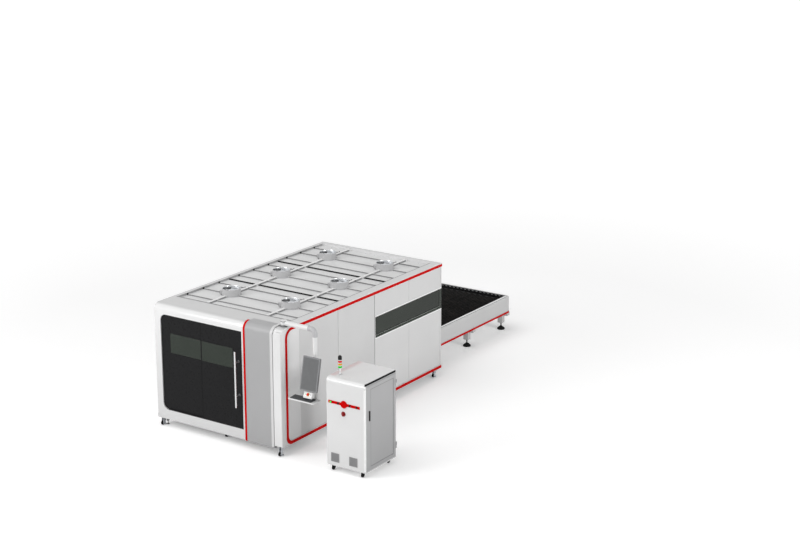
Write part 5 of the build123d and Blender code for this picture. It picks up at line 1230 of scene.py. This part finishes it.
# %% [markdown]
# ## Exchange table
#
# The rails of the table are folded from plate and bolted to welded legs. A row of bolts runs along each
# rail, and each leg has a flange plate with four nuts where it meets the cross tie. On each long rail a cover
# in a paint brighter than the rail is a painted highlight on its top, beside a grey strip of painted shade
# along its edge, and a dark rubber liner with steel clips keeps the pallet from striking the end rail.

# %% Table bolts and leg plates
LEG_ROWS = (5600.0, 6995.0, 8390.0)
LEG_X = 880.0
NUT_X, NUT_Y = 45.0, 68.0
PLATE_X, PLATE_Y, PLATE_Z = 62.0, 84.0, (320.0, 332.0)
RAIL_BOLT_Y, RAIL_BOLT_Z = 60.0, 470.0
hex_nut = lathe([(0, 7), (9, 7), (10.5, 6), (10.5, 0), (0, 0)], 6)
rail_bolt = button_head(11)
nuts, plates, bolts = bmesh.new(), bmesh.new(), bmesh.new()
for side in (-1, 1):
    x = side * LEG_X
    for y in LEG_ROWS:
        for shift_x in (-NUT_X, NUT_X):
            for shift_y in (-NUT_Y, NUT_Y):
                stamp(nuts, hex_nut, (x + shift_x, y + shift_y, PLATE_Z[0]), (0, 0, -1))
        slab(plates, (x - PLATE_X, x + PLATE_X), (y - PLATE_Y, y + PLATE_Y), PLATE_Z, 3, 1)
        for shift in (-RAIL_BOLT_Y, RAIL_BOLT_Y):
            stamp(bolts, rail_bolt, (side * TABLE_SIDE, y + shift, RAIL_BOLT_Z), (side, 0, 0))
piece("leg_nuts", nuts, zinc_steel)
piece("leg_plates", plates, table_paint)
piece("rail_bolts", bolts, zinc_steel)

# %% Rail highlight covers, shade strips and end liner
TABLE_TOP = 758.0
TABLE_INNER, END_INNER = 970.0, 8415.0
TABLE_RUN = (TABLE_START, TABLE_CORNER)
RAIL_SINK, COVER_RISE, STRIP_RISE = 2.0, 3.0, 1.5
COVER_IN, COVER_OUT, STRIP_IN, STRIP_OUT = (TABLE_INNER + out for out in (2, 46, 47, 62))
LINER_HALF = TABLE_INNER - 4
LINER_Y, LINER_Z = (END_INNER - 6, END_INNER + 1), (TABLE_TOP - 96, TABLE_TOP - 3)
CLIPS, CLIP_HALF = 20, 24.0
CLIP_Y, CLIP_Z = (END_INNER - 8, END_INNER - 4), (TABLE_TOP - 34, TABLE_TOP - 16)
covers, shade_strips = bmesh.new(), bmesh.new()
foot = TABLE_TOP - RAIL_SINK
for side in (-1, 1):
    # Painted highlight: a bright cover on each rail's top; beside it a grey strip of painted shade along the
    # edge.
    slab(covers, on_side(side, COVER_IN, COVER_OUT), TABLE_RUN, (foot, TABLE_TOP + COVER_RISE), 1.2, 1)
    slab(shade_strips, on_side(side, STRIP_IN, STRIP_OUT), TABLE_RUN, (foot, TABLE_TOP + STRIP_RISE), 0.8, 1)
piece("rail_highlight_covers", covers, highlight_paint)
piece("rail_shade_strips", shade_strips, trim_grey)
liner, clips = bmesh.new(), bmesh.new()
slab(liner, (-LINER_HALF, LINER_HALF), LINER_Y, LINER_Z, 2)
for step in range(CLIPS):
    x = (step + 0.5) * 2 * TABLE_INNER / CLIPS - TABLE_INNER
    slab(clips, (x - CLIP_HALF, x + CLIP_HALF), CLIP_Y, CLIP_Z, 1.2, 1)
piece("end_liner", liner, rubber)
piece("liner_clips", clips, grille_grey)
